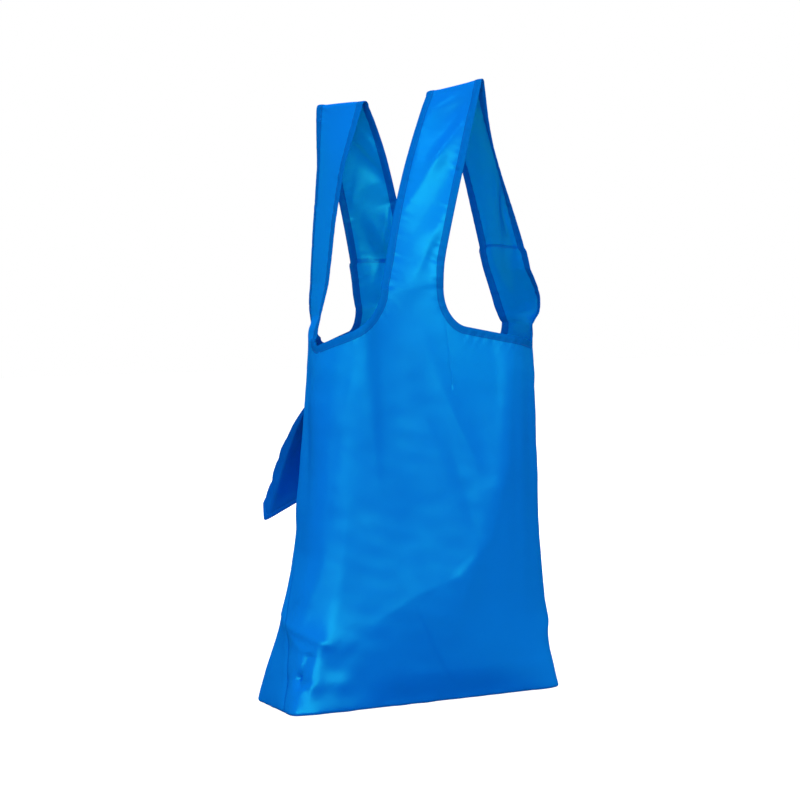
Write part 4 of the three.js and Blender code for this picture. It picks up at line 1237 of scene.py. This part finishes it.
class BAG_OT_stage(bpy.types.Operator):
    """Pale floor, soft lamps and the camera"""

    bl_idname = "bag.stage"
    bl_label = "Stage"

    def execute(self, context):
        scene, stage = context.scene, context.scene.bag_stage
        scene.view_settings.view_transform = "Standard"
        a, e = stage.azimuth, stage.elevation
        back = Vector((math.sin(a) * math.cos(e), -math.cos(a) * math.cos(e), math.sin(e)))
        camera = bpy.data.objects.new("Camera", bpy.data.cameras.new("Camera"))
        scene.collection.objects.link(camera)
        camera.data.lens, camera.data.sensor_width = stage.lens, SENSOR
        camera.location = LOOK_AT + back * stage.distance
        camera.rotation_euler = (-back).to_track_quat("-Z", "Y").to_euler()
        scene.camera = camera
        lamps = [
            ("Key", (-1.25, -0.9, 2.8), (1.2, 1.2), stage.key_power),
            ("Fill", (-0.63, -2.5, 0.63), (3.64, 1.0), stage.fill_power),
            ("Back", (0.6, 2.0, 1.9), (1.4, 1.4), stage.back_power),
        ]
        for name, place, (wide, high), power in lamps:
            lamp = bpy.data.lights.new(name, "AREA")
            lamp.shape, lamp.energy, lamp.size, lamp.size_y = "RECTANGLE", power, wide, high
            holder = bpy.data.objects.new(name, lamp)
            scene.collection.objects.link(holder)
            holder.location = place
            # Only the broad lamp in front is mirrored in the cloth: the others draw hot spots.
            holder.visible_glossy = name == "Fill"
            holder.rotation_euler = (Vector(place) - LAMPS_AIM).to_track_quat("Z", "Y").to_euler()
        bpy.ops.object.select_all(action="DESELECT")
        bpy.ops.mesh.primitive_grid_add(
            x_subdivisions=4, y_subdivisions=4, size=FLOOR_SIZE, location=(0, 0, FLOOR_AT)
        )
        floor = context.object
        floor.name = "Floor"
        bpy.ops.object.transform_apply(location=True, rotation=True, scale=True)
        floor.data.materials.append(self.paper())
        world = bpy.data.worlds.new("Studio")
        scene.world = world
        world.use_nodes = True
        tree = world.node_tree
        tree.nodes.clear()
        path = add_node(tree, "ShaderNodeLightPath")
        room = add_node(tree, "ShaderNodeBackground", Color=(1, 1, 1, 1), Strength=ROOM_LIGHT)
        white = add_node(tree, "ShaderNodeBackground", Color=(1, 1, 1, 1), Strength=WHITE)
        both = mix(tree, room, white, [(0, path.outputs["Is Camera Ray"])])
        add_node(tree, "ShaderNodeOutputWorld", [("Surface", both.outputs[0])])
        return {"FINISHED"}

    def paper(self):
        """White studio paper, matt and even, that keeps a faint shadow."""
        material, tree = new_material("Studio paper")
        path = add_node(tree, "ShaderNodeLightPath")
        place = add_node(tree, "ShaderNodeTexCoord").outputs["Object"]
        shade = rescale(tree, noise(tree, place, Scale=900.0, Detail=2.0), 0.28, 0.32)
        paper = add_node(tree, "ShaderNodeBsdfDiffuse", [("Color", shade)], Roughness=0.8)
        glow = add_node(tree, "ShaderNodeEmission", Color=(1, 1, 1, 1), Strength=PAPER_GLOW)
        lit = add_node(tree, "ShaderNodeAddShader", [(0, paper.outputs[0]), (1, glow.outputs[0])])
        both = mix(tree, paper, lit, [(0, path.outputs["Is Camera Ray"])])
        add_node(tree, "ShaderNodeOutputMaterial", [("Surface", both.outputs[0])])
        return material


class BAG_PT_sidebar(bpy.types.Panel):
    """Sidebar of the bag's pieces and settings"""

    bl_idname = "BAG_PT_sidebar"
    bl_label = "Foldable shopping bag"
    bl_space_type = "VIEW_3D"
    bl_region_type = "UI"
    bl_category = "Bag"

    def draw(self, context):
        for group in (context.scene.bag_sizes, context.scene.bag_colours, context.scene.bag_stage):
            box = self.layout.box()
            for name in type(group).__annotations__:
                box.prop(group, name)
        for operator in OPERATORS:
            self.layout.operator(operator.bl_idname)


OPERATORS = (
    BAG_OT_stage,
    BAG_OT_front_panel,
    BAG_OT_back_panel,
    BAG_OT_base,
    BAG_OT_bindings,
    BAG_OT_pouch,
)
CLASSES = (BagSizes, BagColours, BagStage, *OPERATORS, BAG_PT_sidebar)


def register():
    for kind in CLASSES:
        bpy.utils.register_class(kind)
    bpy.types.Scene.bag_sizes = PointerProperty(type=BagSizes)
    bpy.types.Scene.bag_colours = PointerProperty(type=BagColours)
    bpy.types.Scene.bag_stage = PointerProperty(type=BagStage)


def unregister():
    del bpy.types.Scene.bag_sizes
    del bpy.types.Scene.bag_colours
    del bpy.types.Scene.bag_stage
    for kind in reversed(CLASSES):
        bpy.utils.unregister_class(kind)


def main():
    register()
    bpy.ops.bag.stage()
    bpy.ops.bag.front_panel()
    bpy.ops.bag.back_panel()
    bpy.ops.bag.base()
    bpy.ops.bag.bindings()
    bpy.ops.bag.pouch()
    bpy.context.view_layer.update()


if __name__ == "__main__":
    main()
